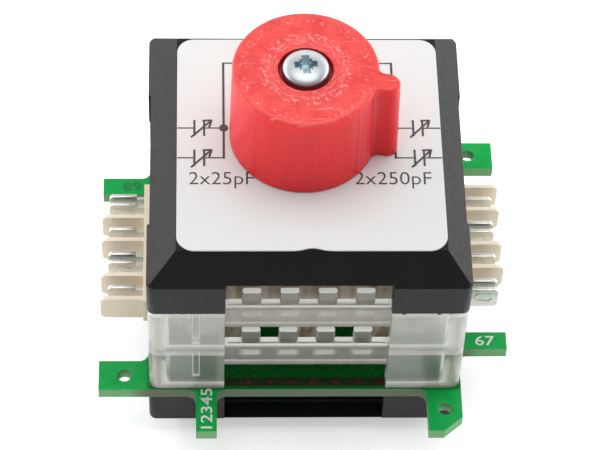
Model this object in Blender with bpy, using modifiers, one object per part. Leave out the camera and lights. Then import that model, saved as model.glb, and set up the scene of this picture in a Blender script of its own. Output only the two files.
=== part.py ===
"""Plug-together tuning capacitor module: a square brick with a four-gang film capacitor inside.

Metres, +Z up. The origin is the centre of the bottom face that the module stands on.
From the bottom up: bottom cover, circuit board with connectors on its left and right edges,
two clear spacer frames, top cover with its label, and the knob on the capacitor's shaft.
"""

import math

import bmesh
import bpy
from mathutils import Matrix, Vector

MM = 0.001

# Housing
BODY_WIDTH = 25.6 * MM          # across the walls of the covers
TOP_FLAT_WIDTH = 21.5 * MM      # across the flat top, inside the slopes
TOP_WALL_HEIGHT = 3.37 * MM     # straight wall of the top cover
TOP_SLOPE_HEIGHT = 2.34 * MM    # rise of its four slopes
BASE_WALL_HEIGHT = 3.33 * MM
BASE_SLOPE_HEIGHT = 2.12 * MM
COVER_WALL = 1.2 * MM
COVER_TOP_THICKNESS = 1.3 * MM
CORNER_RADIUS = 0.64 * MM
NOTCH_HALF = 6.58 * MM          # half width of the opening in each wall
NOTCH_INTO_SLOPE = 0.15 * MM
LABEL_LOW = (-10.43 * MM, -10.83 * MM)
LABEL_HIGH = (10.75 * MM, 10.6 * MM)
LABEL_CORNER = 1.37 * MM
STACK_GAP = 0.04 * MM           # between parts that rest on each other

FRAME_HALF = 12.75 * MM
FRAME_WALL = 1.42 * MM
FRAME_HEIGHT = 5.33 * MM
FRAME_CORNER_RADIUS = 0.8 * MM
WINDOW_HALF = 6.62 * MM
RAIL_BOTTOM = 2.95 * MM         # rail across the top of each window, above the frame's underside
RAIL_STEP = 5.26 * MM
LEDGE_TOP = 5.46 * MM           # raised ledge along the back of the rail
LEDGE_HALF = 6.4 * MM
LEDGE_DEPTH = 0.6 * MM
RAIL_SETBACK = 0.37 * MM
TOOTH_WIDTH = 1.55 * MM
TOOTH_TOP = 7.12 * MM
RIB_CENTRE = -8.91 * MM
RIB_WIDTH = 0.64 * MM
RIB_DEPTH = 0.5 * MM
RIB_LENGTH = 3.3 * MM

# Circuit board
BOARD_HALF = 12.85 * MM
BOARD_THICKNESS = 1.1 * MM
BOARD_REACH = 16.9 * MM         # centre to the tip of a tab
NARROW_TAB_CENTRE = -8.07 * MM
NARROW_TAB_WIDTH = 1.7 * MM
HOLE_TAB_WIDTH = 2.82 * MM
TAB_FILLET = 0.75 * MM
TAB_HOLE_RADIUS = 0.57 * MM
TAB_HOLE = (11.46 * MM, -14.79 * MM)
TAB_CHAMFER = 1.55 * MM

# Connectors: four contacts at one pitch, blades and forks in turn
CONTACT_PITCH = 3.0 * MM
HOUSING_HALF = 6.05 * MM
HOUSING_FACE = 13.3 * MM        # outer face, from the module's centre
HOUSING_BACK = 9.4 * MM
HOUSING_HEIGHT = 2.94 * MM
FINGER_REACH = 16.82 * MM
FINGER_THICKNESS = 0.36 * MM
FINGER_LOW = 0.3 * MM           # above the board
FINGER_HIGH = 2.9 * MM
FINGER_OFFSET = 1.2 * MM        # from a blade to the finger on each side of it
CONTACT_REACH = 16.25 * MM
CONTACT_THICKNESS = 0.3 * MM
CONTACT_LOW = 0.45 * MM
CONTACT_HIGH = 2.8 * MM
NECK_START = 13.95 * MM
NECK_LOW = 0.95 * MM
NECK_HIGH = 2.42 * MM
FORK_SPREAD = 0.43 * MM         # from the fork's middle to each strip
CONTACT_TAIL = 8.3 * MM
RIGHT_CONNECTOR_SHIFT = 0.2 * MM     # towards the back

# Tuning capacitor
SHAFT_AXIS = Vector((-0.35 * MM, 0.6 * MM, 0.0))
CASE_HALF = 10.0 * MM
CASE_WALL = 0.8 * MM
CASE_FLOOR = 11.8 * MM          # underside of the case, above the origin
CASE_FLOOR_THICKNESS = 0.7 * MM
CASE_TOP = 20.45 * MM
PLATE_TOP = 21.3 * MM
BUSHING_TOP = 22.6 * MM
BUSHING_RADIUS = 3.6 * MM
JOURNAL_RADIUS = 2.95 * MM
RUNNING_GAP = 0.05 * MM
CORE_RADIUS = 1.7 * MM
FOOT_RADIUS = 1.2 * MM
HUB_RADIUS = 2.6 * MM
ROTOR_RADIUS = 8.0 * MM
SHEET = 0.14 * MM
SHEET_STEP = 0.3 * MM           # from a fixed plate to the next moving plate
FILM = 0.05 * MM
GANG_GAP = 0.2 * MM
STACK_START = 12.6 * MM
GANGS = (("large_1", 4), ("large_2", 4), ("small_1", 1), ("small_2", 1))
TRIMMER_OFFSET = 4.7 * MM
TERMINAL_X = (-5.9 * MM, 0.0, 5.9 * MM)
TERMINAL_Y = 8.5 * MM
TERMINAL_WIDTH = 2.2 * MM
TERMINAL_SHEET = 0.25 * MM
CASE_SCREW_OFFSET = 7.2 * MM

# Shaft end and knob
SHAFT_TOP = 29.0 * MM
SHAFT_FLATS = 4.6 * MM          # across the two flats
FLATS_START = 23.2 * MM
KNOB_BOTTOM = 23.3 * MM
KNOB_TOP = 31.5 * MM
KNOB_RADIUS = 5.78 * MM
KNOB_FOOT_RADIUS = 5.92 * MM
POINTER_REACH = 7.5 * MM
POINTER_HALF_WIDTH = 0.8 * MM
POINTER_FILLET = 0.7 * MM
POINTER_ANGLE = math.radians(-12.0)
RECESS_RADIUS = 2.15 * MM
RECESS_FLOOR = 30.75 * MM

BOARD_BOTTOM = BASE_SLOPE_HEIGHT + BASE_WALL_HEIGHT + STACK_GAP
BOARD_TOP = BOARD_BOTTOM + BOARD_THICKNESS
LOWER_FRAME_BASE = BOARD_TOP + STACK_GAP
UPPER_FRAME_BASE = LOWER_FRAME_BASE + FRAME_HEIGHT + STACK_GAP
TOP_COVER_RIM = UPPER_FRAME_BASE + FRAME_HEIGHT + STACK_GAP
TOP_FACE = TOP_COVER_RIM + TOP_WALL_HEIGHT + TOP_SLOPE_HEIGHT

SEGMENTS = 32


# Scene and materials

def start_scene():
    for leftover in list(bpy.data.objects):
        bpy.data.objects.remove(leftover, do_unlink=True)
    collection = bpy.data.collections.new("tuning_capacitor_module")
    bpy.context.scene.collection.children.link(collection)
    return collection


PARTS = start_scene()


def make_material(name, colour, roughness, metallic=0.0, alpha=1.0):
    material = bpy.data.materials.new(name)
    material.use_nodes = True
    shader = material.node_tree.nodes["Principled BSDF"]
    shader.inputs["Base Color"].default_value = (*colour, 1.0)
    shader.inputs["Roughness"].default_value = roughness
    shader.inputs["Metallic"].default_value = metallic
    shader.inputs["Alpha"].default_value = alpha
    return material


BLACK_PLASTIC = make_material("black_plastic", (0.045, 0.045, 0.045), 0.5)
LABEL_WHITE = make_material("label_white", (0.85, 0.85, 0.85), 0.45)
CLEAR_PLASTIC = make_material("clear_plastic", (0.75, 0.78, 0.74), 0.3, alpha=0.5)
GREEN_BOARD = make_material("green_board", (0.01, 0.3, 0.08), 0.4)
BEIGE_PLASTIC = make_material("beige_plastic", (0.62, 0.52, 0.38), 0.55)
TINNED_METAL = make_material("tinned_metal", (0.7, 0.7, 0.68), 0.3, metallic=1.0)
BRASS = make_material("brass", (0.75, 0.55, 0.25), 0.35, metallic=1.0)
ALUMINIUM = make_material("aluminium", (0.75, 0.76, 0.77), 0.35, metallic=1.0)
ZINC_STEEL = make_material("zinc_steel", (0.75, 0.78, 0.8), 0.25, metallic=1.0)
MILKY_PLASTIC = make_material("milky_plastic", (0.72, 0.66, 0.58), 0.45)
FILM_PLASTIC = make_material("film_plastic", (0.8, 0.78, 0.7), 0.2, alpha=0.4)
RED_PLASTIC = make_material("red_plastic", (0.75, 0.035, 0.04), 0.45)


# Meshes

def add_object(name, mesh, material=None):
    mesh.name = name
    part = bpy.data.objects.new(name, mesh)
    PARTS.objects.link(part)
    if material:
        mesh.materials.clear()
        mesh.materials.append(material)
    return part


def from_bmesh(name, shape, material=None):
    bmesh.ops.recalc_face_normals(shape, faces=shape.faces)
    mesh = bpy.data.meshes.new(name)
    shape.to_mesh(mesh)
    shape.free()
    return add_object(name, mesh, material)


def baked(part):
    """Replace the object's mesh or curve by the mesh its modifiers give, with shared corners welded."""
    bpy.context.view_layer.update()
    evaluated = part.evaluated_get(bpy.context.evaluated_depsgraph_get())
    mesh = bpy.data.meshes.new_from_object(evaluated)
    shape = bmesh.new()
    shape.from_mesh(mesh)
    bmesh.ops.remove_doubles(shape, verts=shape.verts, dist=1e-7)
    bmesh.ops.transform(shape, matrix=part.matrix_world, verts=shape.verts)
    bmesh.ops.recalc_face_normals(shape, faces=shape.faces)
    shape.to_mesh(mesh)
    shape.free()
    name = part.name
    bpy.data.objects.remove(part, do_unlink=True)
    return add_object(name, mesh)


def combine(part, other, operation):
    """Cut, join or intersect a part with another solid, which is used up."""
    step = part.modifiers.new(operation.lower(), 'BOOLEAN')
    step.operation = operation
    step.solver = 'EXACT'
    step.object = other
    result = baked(part)
    bpy.data.objects.remove(other, do_unlink=True)
    return result


def painted(part, material, smooth=True):
    part.data.materials.clear()
    part.data.materials.append(material)
    if smooth:
        part.data.shade_smooth()
        part.data.set_sharp_from_angle(angle=math.radians(35))
    return part


def moved_mesh(part, matrix):
    part.data.transform(matrix)
    return part


def box_into(shape, low, high):
    """Add a box between two corners to a bmesh."""
    low, high = Vector(low), Vector(high)
    middle = Matrix.Translation((low + high) / 2)
    size = Matrix.Diagonal((*(high - low), 1.0))
    bmesh.ops.create_cube(shape, size=1.0, matrix=middle @ size)


def boxes(name, corner_pairs, material=None):
    shape = bmesh.new()
    for low, high in corner_pairs:
        box_into(shape, low, high)
    return from_bmesh(name, shape, material)


def cylinders(name, places, radius, low, high, segments=SEGMENTS):
    """Upright cylinders of one size, one at each place."""
    shape = bmesh.new()
    for place in places:
        middle = Matrix.Translation((place[0], place[1], (low + high) / 2))
        bmesh.ops.create_cone(shape, cap_ends=True, segments=segments, radius1=radius, radius2=radius,
                              depth=high - low, matrix=middle)
    return from_bmesh(name, shape)


def flat_shape(name, outlines, low, high):
    """Extrude closed outlines in the XY plane; an outline inside another is a hole."""
    curve = bpy.data.curves.new(name, 'CURVE')
    curve.dimensions = '2D'
    curve.fill_mode = 'BOTH'
    curve.extrude = (high - low) / 2
    for outline in outlines:
        spline = curve.splines.new('POLY')
        spline.points.add(len(outline) - 1)
        for point, (x, y) in zip(spline.points, outline):
            point.co = (x, y, 0.0, 1.0)
        spline.use_cyclic_u = True
    guide = bpy.data.objects.new(name, curve)
    guide.location.z = (low + high) / 2
    PARTS.objects.link(guide)
    return baked(guide)


def turned(name, profile, centre, segments=SEGMENTS):
    """Spin a profile of (radius, height) points, given top to bottom, around an upright axis."""
    mesh = bpy.data.meshes.new(name)
    closed = profile[0][0] > 0.0
    edges = [(i, i + 1) for i in range(len(profile) - 1)]
    if closed:
        edges.append((len(profile) - 1, 0))
    mesh.from_pydata([(radius, 0.0, height) for radius, height in profile], edges, [])
    part = add_object(name, mesh)
    part.location = (centre[0], centre[1], 0.0)
    spin = part.modifiers.new("spin", 'SCREW')
    spin.steps = segments
    spin.render_steps = segments
    spin.use_merge_vertices = True
    spin.merge_threshold = 1e-6
    spin.use_normal_calculate = True
    return baked(part)


# Outlines

def arc(centre, radius, start, end, steps):
    """Points along an arc; angles in radians."""
    return [(centre[0] + radius * math.cos(start + (end - start) * i / steps),
             centre[1] + radius * math.sin(start + (end - start) * i / steps)) for i in range(steps + 1)]


def circle(centre, radius, segments=SEGMENTS):
    return arc(centre, radius, 0.0, 2 * math.pi, segments)[:-1]


def rounded_rectangle(low, high, radius, steps=4):
    corners = ((high[0] - radius, high[1] - radius, 0.0), (low[0] + radius, high[1] - radius, 0.5),
               (low[0] + radius, low[1] + radius, 1.0), (high[0] - radius, low[1] + radius, 1.5))
    points = []
    for x, y, turn in corners:
        points += arc((x, y), radius, turn * math.pi, (turn + 0.5) * math.pi, steps)
    return points


def rounded_square(half, radius, steps=4):
    return rounded_rectangle((-half, -half), (half, half), radius, steps)


def sector(centre, inner, outer, start, end, steps):
    """Outline of a piece of a ring."""
    return arc(centre, outer, start, end, steps) + arc(centre, inner, end, start, steps)


def quarter_turned(pairs, quarters):
    """Turn axis-aligned boxes about the module's centre line by quarter turns."""
    turned_pairs = []
    spin = Matrix.Rotation(quarters * math.pi / 2, 3, 'Z')
    for low, high in pairs:
        a, b = spin @ Vector(low), spin @ Vector(high)
        turned_pairs.append(([min(p, q) for p, q in zip(a, b)], [max(p, q) for p, q in zip(a, b)]))
    return turned_pairs


def on_four_sides(pairs):
    return [pair for quarters in range(4) for pair in quarter_turned(pairs, quarters)]


# Covers

def hipped_block(name, half, rim, eave, flat, flat_half, radius):
    """A square block with four slopes up to a smaller flat top and rounded upright corners."""
    shape = bmesh.new()
    box_into(shape, (-half, -half, rim), (half, half, eave))
    top = max(shape.faces, key=lambda face: face.calc_center_median().z)
    raised = bmesh.ops.extrude_face_region(shape, geom=[top])
    bmesh.ops.delete(shape, geom=[top], context='FACES_ONLY')
    corners = [item for item in raised['geom'] if isinstance(item, bmesh.types.BMVert)]
    for corner in corners:
        corner.co = Vector((corner.co.x * flat_half / half, corner.co.y * flat_half / half, flat))
    middle = (rim + eave) / 2
    upright = [edge for edge in shape.edges
               if min(v.co.z for v in edge.verts) < middle < max(v.co.z for v in edge.verts)]
    bmesh.ops.bevel(shape, geom=upright, offset=radius, segments=4, profile=0.5, affect='EDGES')
    return from_bmesh(name, shape)


def make_cover(name, wall_height, slope_height):
    """The cover with its flat side up; its rim is at z = 0."""
    half = BODY_WIDTH / 2
    top = wall_height + slope_height
    cover = hipped_block(name, half, 0.0, wall_height, top, TOP_FLAT_WIDTH / 2, CORNER_RADIUS)
    slope = (half - TOP_FLAT_WIDTH / 2) / slope_height
    inner_half = half - COVER_WALL
    ceiling = top - COVER_TOP_THICKNESS
    inner_eave = wall_height - 0.37 * MM
    hollow = hipped_block("hollow", inner_half, -1.0 * MM, inner_eave, ceiling,
                          inner_half - (ceiling - inner_eave) * slope, CORNER_RADIUS / 2)
    cover = combine(cover, hollow, 'DIFFERENCE')
    notch = ((-NOTCH_HALF, -half - 1.0 * MM, -1.0 * MM),
             (NOTCH_HALF, -half + 2.2 * MM, wall_height + NOTCH_INTO_SLOPE))
    return combine(cover, boxes("notches", on_four_sides([notch])), 'DIFFERENCE')


def make_covers():
    top = make_cover("top_cover", TOP_WALL_HEIGHT, TOP_SLOPE_HEIGHT)
    moved_mesh(top, Matrix.Translation((0, 0, TOP_COVER_RIM)))
    shaft_hole = cylinders("shaft_hole", [SHAFT_AXIS], BUSHING_RADIUS + 0.25 * MM,
                           TOP_COVER_RIM, TOP_FACE + 1.0 * MM)
    top = combine(top, shaft_hole, 'DIFFERENCE')
    for side in (-1, 1):
        place = SHAFT_AXIS + Vector((side * CASE_SCREW_OFFSET, 0, 0))
        sink = turned("sink", [(0.0, TOP_FACE + 0.5 * MM), (2.35 * MM, TOP_FACE + 0.5 * MM),
                               (2.35 * MM, TOP_FACE - 0.1 * MM), (1.35 * MM, TOP_FACE - 1.0 * MM),
                               (1.35 * MM, TOP_FACE - 2.0 * MM), (0.0, TOP_FACE - 2.0 * MM)], place, 24)
        top = combine(top, sink, 'DIFFERENCE')
    painted(top, BLACK_PLASTIC)

    base = make_cover("bottom_cover", BASE_WALL_HEIGHT, BASE_SLOPE_HEIGHT)
    lift = Matrix.Translation((0, 0, BASE_WALL_HEIGHT + BASE_SLOPE_HEIGHT))
    painted(moved_mesh(base, lift @ Matrix.Rotation(math.pi, 4, 'X')), BLACK_PLASTIC)

    low = TOP_FACE + 0.03 * MM
    outlines = [rounded_rectangle(LABEL_LOW, LABEL_HIGH, LABEL_CORNER, 6),
                circle(SHAFT_AXIS, BUSHING_RADIUS + 0.25 * MM)]
    painted(flat_shape("cover_label", outlines, low, low + 0.12 * MM), LABEL_WHITE, smooth=False)


# Clear spacer frames

def make_spacer_frame(name, base):
    """A square ring with a window in each wall, a toothed rail over it and a locating rib beside it."""
    top = base + FRAME_HEIGHT
    inner = FRAME_HALF - FRAME_WALL
    frame = flat_shape(name, [rounded_square(FRAME_HALF, FRAME_CORNER_RADIUS),
                              rounded_square(inner, FRAME_CORNER_RADIUS / 2, 2)], base, top)
    rail_front = FRAME_HALF - RAIL_SETBACK
    window = ((-WINDOW_HALF, -FRAME_HALF - 1.0 * MM, base - 1.0 * MM),
              (WINDOW_HALF, -inner + 1.0 * MM, base + RAIL_BOTTOM))
    setback = ((-WINDOW_HALF, -FRAME_HALF - 1.0 * MM, base + RAIL_BOTTOM - 0.5 * MM),
               (WINDOW_HALF, -rail_front, top + 1.0 * MM))
    step = ((-WINDOW_HALF, -FRAME_HALF - 0.9 * MM, base + RAIL_STEP),
            (WINDOW_HALF, -inner - LEDGE_DEPTH, top + 0.9 * MM))
    for cut in (window, setback, step):
        frame = combine(frame, boxes("cut", on_four_sides([cut])), 'DIFFERENCE')
    back = -inner - 0.02 * MM
    ledge = ((-LEDGE_HALF, -inner - LEDGE_DEPTH, base + RAIL_BOTTOM + 1.0 * MM), (LEDGE_HALF, back, base + LEDGE_TOP))
    frame = combine(frame, boxes("ledge", on_four_sides([ledge])), 'UNION')
    teeth = [((CONTACT_PITCH * place - TOOTH_WIDTH / 2, -inner - LEDGE_DEPTH, base + RAIL_STEP - 0.5 * MM),
              (CONTACT_PITCH * place + TOOTH_WIDTH / 2, back, base + TOOTH_TOP))
             for place in (-1.5, -0.5, 0.5, 1.5)]
    rib = ((RIB_CENTRE - RIB_WIDTH / 2, -inner - 0.3 * MM, top - RIB_LENGTH),
           (RIB_CENTRE + RIB_WIDTH / 2, -inner + RIB_DEPTH, top - 0.1 * MM))
    frame = combine(frame, boxes("teeth", on_four_sides(teeth + [rib])), 'UNION')
    return painted(frame, CLEAR_PLASTIC)


# Circuit board

def board_side(chamfer):
    """The outline along the front edge, left to right: narrow tab, then the tab with a hole."""
    edge = -BOARD_HALF
    left = NARROW_TAB_CENTRE - NARROW_TAB_WIDTH / 2
    right = NARROW_TAB_CENTRE + NARROW_TAB_WIDTH / 2
    hole_tab = BOARD_HALF - HOLE_TAB_WIDTH
    below = edge - TAB_FILLET
    steps = 5
    points = arc((left - TAB_FILLET, below), TAB_FILLET, math.pi / 2, 0.0, steps)
    points += [(left, -BOARD_REACH), (right, -BOARD_REACH)]
    points += arc((right + TAB_FILLET, below), TAB_FILLET, math.pi, math.pi / 2, steps)
    points += arc((hole_tab - TAB_FILLET, below), TAB_FILLET, math.pi / 2, 0.0, steps)
    points += [(hole_tab, -BOARD_REACH)]
    if chamfer:
        points += [(BOARD_HALF - TAB_CHAMFER, -BOARD_REACH), (BOARD_HALF, -BOARD_REACH + TAB_CHAMFER * 0.85)]
    else:
        points += [(BOARD_HALF, -BOARD_REACH)]
    return points


def quarter_turned_point(point, quarters):
    x, y = point
    for _ in range(quarters):
        x, y = -y, x
    return (x, y)


def make_board():
    outline = []
    for quarters in range(4):
        outline += [quarter_turned_point(point, quarters) for point in board_side(chamfer=quarters == 0)]
    outlines = [outline]
    for quarters in range(4):
        outlines.append(circle(quarter_turned_point(TAB_HOLE, quarters), TAB_HOLE_RADIUS, 20))
    slot = Vector((TERMINAL_WIDTH / 2 + 0.15 * MM, TERMINAL_SHEET / 2 + 0.15 * MM))
    for x, y in terminal_places():
        outlines.append(rounded_rectangle((x - slot.x, y - slot.y), (x + slot.x, y + slot.y), 0.15 * MM, 2))
    board = flat_shape("circuit_board", outlines, BOARD_BOTTOM, BOARD_TOP)
    painted(board, GREEN_BOARD, smooth=False)


# Connectors, modelled on the left side; the right one is turned half round

def on_edge(part, depth_centre):
    """Stand a shape drawn in XY on its edge: its Y becomes height above the board, its depth runs along Y."""
    upright = Matrix.Translation((0, depth_centre, BOARD_TOP)) @ Matrix.Rotation(math.pi / 2, 4, 'X')
    return moved_mesh(part, upright)


def standing_plate(name, outline, thickness, depth_centre):
    return on_edge(flat_shape(name, [outline], -thickness / 2, thickness / 2), depth_centre)


def contact_outline():
    """A contact seen from the side: rounded nose, narrower neck, and a tail down to the board."""
    nose = 0.35 * MM
    foot = STACK_GAP
    points = arc((-CONTACT_REACH + nose, CONTACT_LOW + nose), nose, 1.5 * math.pi, math.pi, 4)
    points += arc((-CONTACT_REACH + nose, CONTACT_HIGH - nose), nose, math.pi, math.pi / 2, 4)
    points += [(-NECK_START, CONTACT_HIGH), (-NECK_START, NECK_HIGH), (-CONTACT_TAIL, NECK_HIGH),
               (-CONTACT_TAIL, foot), (-CONTACT_TAIL - 0.8 * MM, foot), (-CONTACT_TAIL - 0.8 * MM, NECK_LOW),
               (-NECK_START, NECK_LOW), (-NECK_START, CONTACT_LOW)]
    return points


def finger_outline():
    nose = 0.4 * MM
    points = arc((-FINGER_REACH + nose, FINGER_LOW + nose), nose, 1.5 * math.pi, math.pi, 4)
    points += arc((-FINGER_REACH + nose, FINGER_HIGH - nose), nose, math.pi, math.pi / 2, 4)
    points += [(-HOUSING_FACE + 0.4 * MM, FINGER_HIGH), (-HOUSING_FACE + 0.4 * MM, FINGER_LOW)]
    return points


def make_connector(side_name, turn, shift):
    blades = (("front", -1.5), ("rear", 0.5))
    forks = (("front", -0.5), ("rear", 1.5))
    place_side = Matrix.Translation((0, shift, 0)) @ Matrix.Rotation(turn, 4, 'Z')
    block = ((-HOUSING_FACE, -HOUSING_HALF, BOARD_TOP + STACK_GAP),
             (-HOUSING_BACK, HOUSING_HALF, BOARD_TOP + HOUSING_HEIGHT))
    housing = boxes(side_name + "_connector_body", [block])
    slots = []
    for places, half_width in ((blades, CONTACT_THICKNESS / 2 + 0.08 * MM),
                               (forks, FORK_SPREAD + CONTACT_THICKNESS / 2 + 0.08 * MM)):
        for _, place in places:
            y = place * CONTACT_PITCH
            slots.append(((-HOUSING_FACE - 1 * MM, y - half_width, BOARD_TOP + NECK_LOW - 0.08 * MM),
                          (-HOUSING_BACK + 1 * MM, y + half_width, BOARD_TOP + NECK_HIGH + 0.08 * MM)))
    housing = combine(housing, boxes("slots", slots), 'DIFFERENCE')
    for _, place in blades:
        for side in (-1, 1):
            finger = standing_plate("finger", finger_outline(), FINGER_THICKNESS,
                                    place * CONTACT_PITCH + side * FINGER_OFFSET)
            housing = combine(housing, finger, 'UNION')
    painted(moved_mesh(housing, place_side), BEIGE_PLASTIC)

    for end, place in blades:
        blade = standing_plate(side_name + "_blade_" + end, contact_outline(), CONTACT_THICKNESS,
                               place * CONTACT_PITCH)
        painted(moved_mesh(blade, place_side), TINNED_METAL, smooth=False)
    for end, place in forks:
        y = place * CONTACT_PITCH
        strip = contact_outline()
        fork = standing_plate(side_name + "_fork_" + end, strip, CONTACT_THICKNESS, y - FORK_SPREAD)
        other = standing_plate("other_strip", strip, CONTACT_THICKNESS, y + FORK_SPREAD)
        fork = combine(fork, other, 'UNION')
        bridge = boxes("bridge", [((-12.4 * MM, y - FORK_SPREAD, BOARD_TOP + NECK_LOW + 0.2 * MM),
                                   (-12.0 * MM, y + FORK_SPREAD, BOARD_TOP + NECK_HIGH - 0.2 * MM))])
        fork = combine(fork, bridge, 'UNION')
        painted(moved_mesh(fork, place_side), TINNED_METAL, smooth=False)


# Tuning capacitor: fixed pieces

def screw_places():
    return [SHAFT_AXIS + Vector((side * CASE_SCREW_OFFSET, 0, 0)) for side in (-1, 1)]


def terminal_places():
    return [(x, -TERMINAL_Y) for x in TERMINAL_X] + [(-x, TERMINAL_Y) for x in TERMINAL_X]


def make_case():
    case = flat_shape("capacitor_case", [rounded_square(CASE_HALF, 0.8 * MM)], CASE_FLOOR, CASE_TOP)
    inner = flat_shape("hollow", [rounded_square(CASE_HALF - CASE_WALL, 0.4 * MM, 2)],
                       CASE_FLOOR + CASE_FLOOR_THICKNESS, CASE_TOP + 1.0 * MM)
    case = combine(case, inner, 'DIFFERENCE')
    foot_hole = cylinders("foot_hole", [SHAFT_AXIS], FOOT_RADIUS + RUNNING_GAP,
                          CASE_FLOOR - 1.0 * MM, CASE_FLOOR + 2.0 * MM)
    case = combine(case, foot_hole, 'DIFFERENCE')
    trimmer_holes = cylinders("trimmer_holes", trimmer_places(), 0.7 * MM + RUNNING_GAP,
                              CASE_FLOOR - 1.0 * MM, CASE_FLOOR + 2.0 * MM, 16)
    case = combine(case, trimmer_holes, 'DIFFERENCE')
    slots = [((x - TERMINAL_WIDTH / 2 - 0.1 * MM, y - TERMINAL_SHEET / 2 - 0.1 * MM, CASE_FLOOR - 1.0 * MM),
              (x + TERMINAL_WIDTH / 2 + 0.1 * MM, y + TERMINAL_SHEET / 2 + 0.1 * MM, CASE_FLOOR + 2.0 * MM))
             for x, y in terminal_places()]
    painted(combine(case, boxes("slots", slots), 'DIFFERENCE'), MILKY_PLASTIC)


def make_front_plate():
    low = CASE_TOP + STACK_GAP
    holes = [circle(SHAFT_AXIS, BUSHING_RADIUS + 0.03 * MM)]
    holes += [circle(place, 1.25 * MM, 20) for place in screw_places()]
    plate = flat_shape("capacitor_front_plate", [rounded_square(CASE_HALF, 0.8 * MM)] + holes, low, PLATE_TOP)
    lug = sector(SHAFT_AXIS, 4.0 * MM, 4.9 * MM, math.radians(190), math.radians(350), 16)
    stop = flat_shape("stop", [lug], low - 0.5 * MM, low + 0.3 * MM)
    painted(combine(plate, stop, 'UNION'), MILKY_PLASTIC)

    bushing = [(BUSHING_RADIUS, BUSHING_TOP), (BUSHING_RADIUS, low), (JOURNAL_RADIUS + RUNNING_GAP, low),
               (JOURNAL_RADIUS + RUNNING_GAP, BUSHING_TOP)]
    painted(turned("shaft_bushing", bushing, SHAFT_AXIS), BRASS)


def gang_levels():
    """The name, number of moving plates and lowest level of each gang, from the case floor up."""
    level = STACK_START
    gangs = []
    for name, moving in GANGS:
        gangs.append((name, moving, level))
        level += 2 * moving * SHEET_STEP + SHEET + GANG_GAP
    return gangs


def stacked(name, outlines, levels, thickness):
    """Equal flat sheets at the given levels, still separate from each other."""
    sheet = flat_shape(name, outlines, 0.0, thickness)
    shape = bmesh.new()
    for level in levels:
        added = bmesh.new()
        added.from_mesh(sheet.data)
        bmesh.ops.translate(added, verts=added.verts, vec=(0, 0, level))
        copy = bpy.data.meshes.new("sheet")
        added.to_mesh(copy)
        added.free()
        shape.from_mesh(copy)
        bpy.data.meshes.remove(copy)
    bpy.data.objects.remove(sheet, do_unlink=True)
    return from_bmesh(name, shape)


def make_stator(name, moving, level):
    reach = CASE_HALF - CASE_WALL - 0.3 * MM
    edge = SHAFT_AXIS.y - 0.4 * MM
    gap_radius = HUB_RADIUS + 0.6 * MM
    swing = math.asin((SHAFT_AXIS.y - edge) / gap_radius)
    outline = [(-reach, edge), (-reach, -reach), (reach, -reach), (reach, edge)]
    outline += arc(SHAFT_AXIS, gap_radius, -swing, -math.pi + swing, 12)
    levels = [level + 2 * i * SHEET_STEP for i in range(moving + 1)]
    stator = stacked("stator_" + name, [outline], levels, SHEET)
    posts = []
    for side in (-1, 1):
        x = side * (reach - 0.6 * MM)
        posts.append(((x - 0.4 * MM, -reach + 0.2 * MM, level + SHEET / 3),
                      (x + 0.4 * MM, -reach + 1.0 * MM, levels[-1] + SHEET * 2 / 3)))
    painted(combine(stator, boxes("posts", posts), 'UNION'), ALUMINIUM, smooth=False)


def make_film(name, moving, level):
    """The clear films between one gang's plates, held together by a strip in the back corner."""
    reach = CASE_HALF - CASE_WALL - 0.2 * MM
    cut = reach - 2.2 * MM
    outline = [(-reach, reach), (-reach, -cut), (-cut, -reach), (cut, -reach), (reach, -cut), (reach, reach)]
    first = level + (SHEET + SHEET_STEP) / 2 - FILM / 2
    levels = [first + i * SHEET_STEP for i in range(2 * moving)]
    film = stacked("film_" + name, [outline, circle(SHAFT_AXIS, HUB_RADIUS + 0.25 * MM, 18)], levels, FILM)
    strip = boxes("strip", [((reach - 0.6 * MM, reach - 0.6 * MM, levels[0] + FILM / 3),
                             (reach - 0.1 * MM, reach - 0.1 * MM, levels[-1] + FILM * 2 / 3))])
    painted(combine(film, strip, 'UNION'), FILM_PLASTIC, smooth=False)


def make_terminals():
    names = ["terminal_front_%d" % i for i in (1, 2, 3)] + ["terminal_back_%d" % i for i in (1, 2, 3)]
    for name, (x, y) in zip(names, terminal_places()):
        strip = boxes(name, [((x - TERMINAL_WIDTH / 2, y - TERMINAL_SHEET / 2, BOARD_BOTTOM - 0.4 * MM),
                              (x + TERMINAL_WIDTH / 2, y + TERMINAL_SHEET / 2,
                               CASE_FLOOR + CASE_FLOOR_THICKNESS - 0.1 * MM))])
        painted(strip, TINNED_METAL, smooth=False)


def make_case_screws():
    """Countersunk screws under the label that hang the capacitor from the top cover."""
    for name, place in zip(("case_screw_left", "case_screw_right"), screw_places()):
        top = TOP_FACE - 0.05 * MM
        profile = [(0.0, top), (2.2 * MM, top), (2.2 * MM, top - 0.1 * MM), (1.2 * MM, top - 1.1 * MM),
                   (1.2 * MM, PLATE_TOP - 0.7 * MM), (0.0, PLATE_TOP - 0.7 * MM)]
        screw = turned(name, profile, place, 20)
        slot = boxes("slot", [((place.x - 3 * MM, place.y - 0.25 * MM, top - 0.45 * MM),
                               (place.x + 3 * MM, place.y + 0.25 * MM, top + 1 * MM))])
        painted(combine(screw, slot, 'DIFFERENCE'), ZINC_STEEL)


# Tuning capacitor: moving pieces

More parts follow.
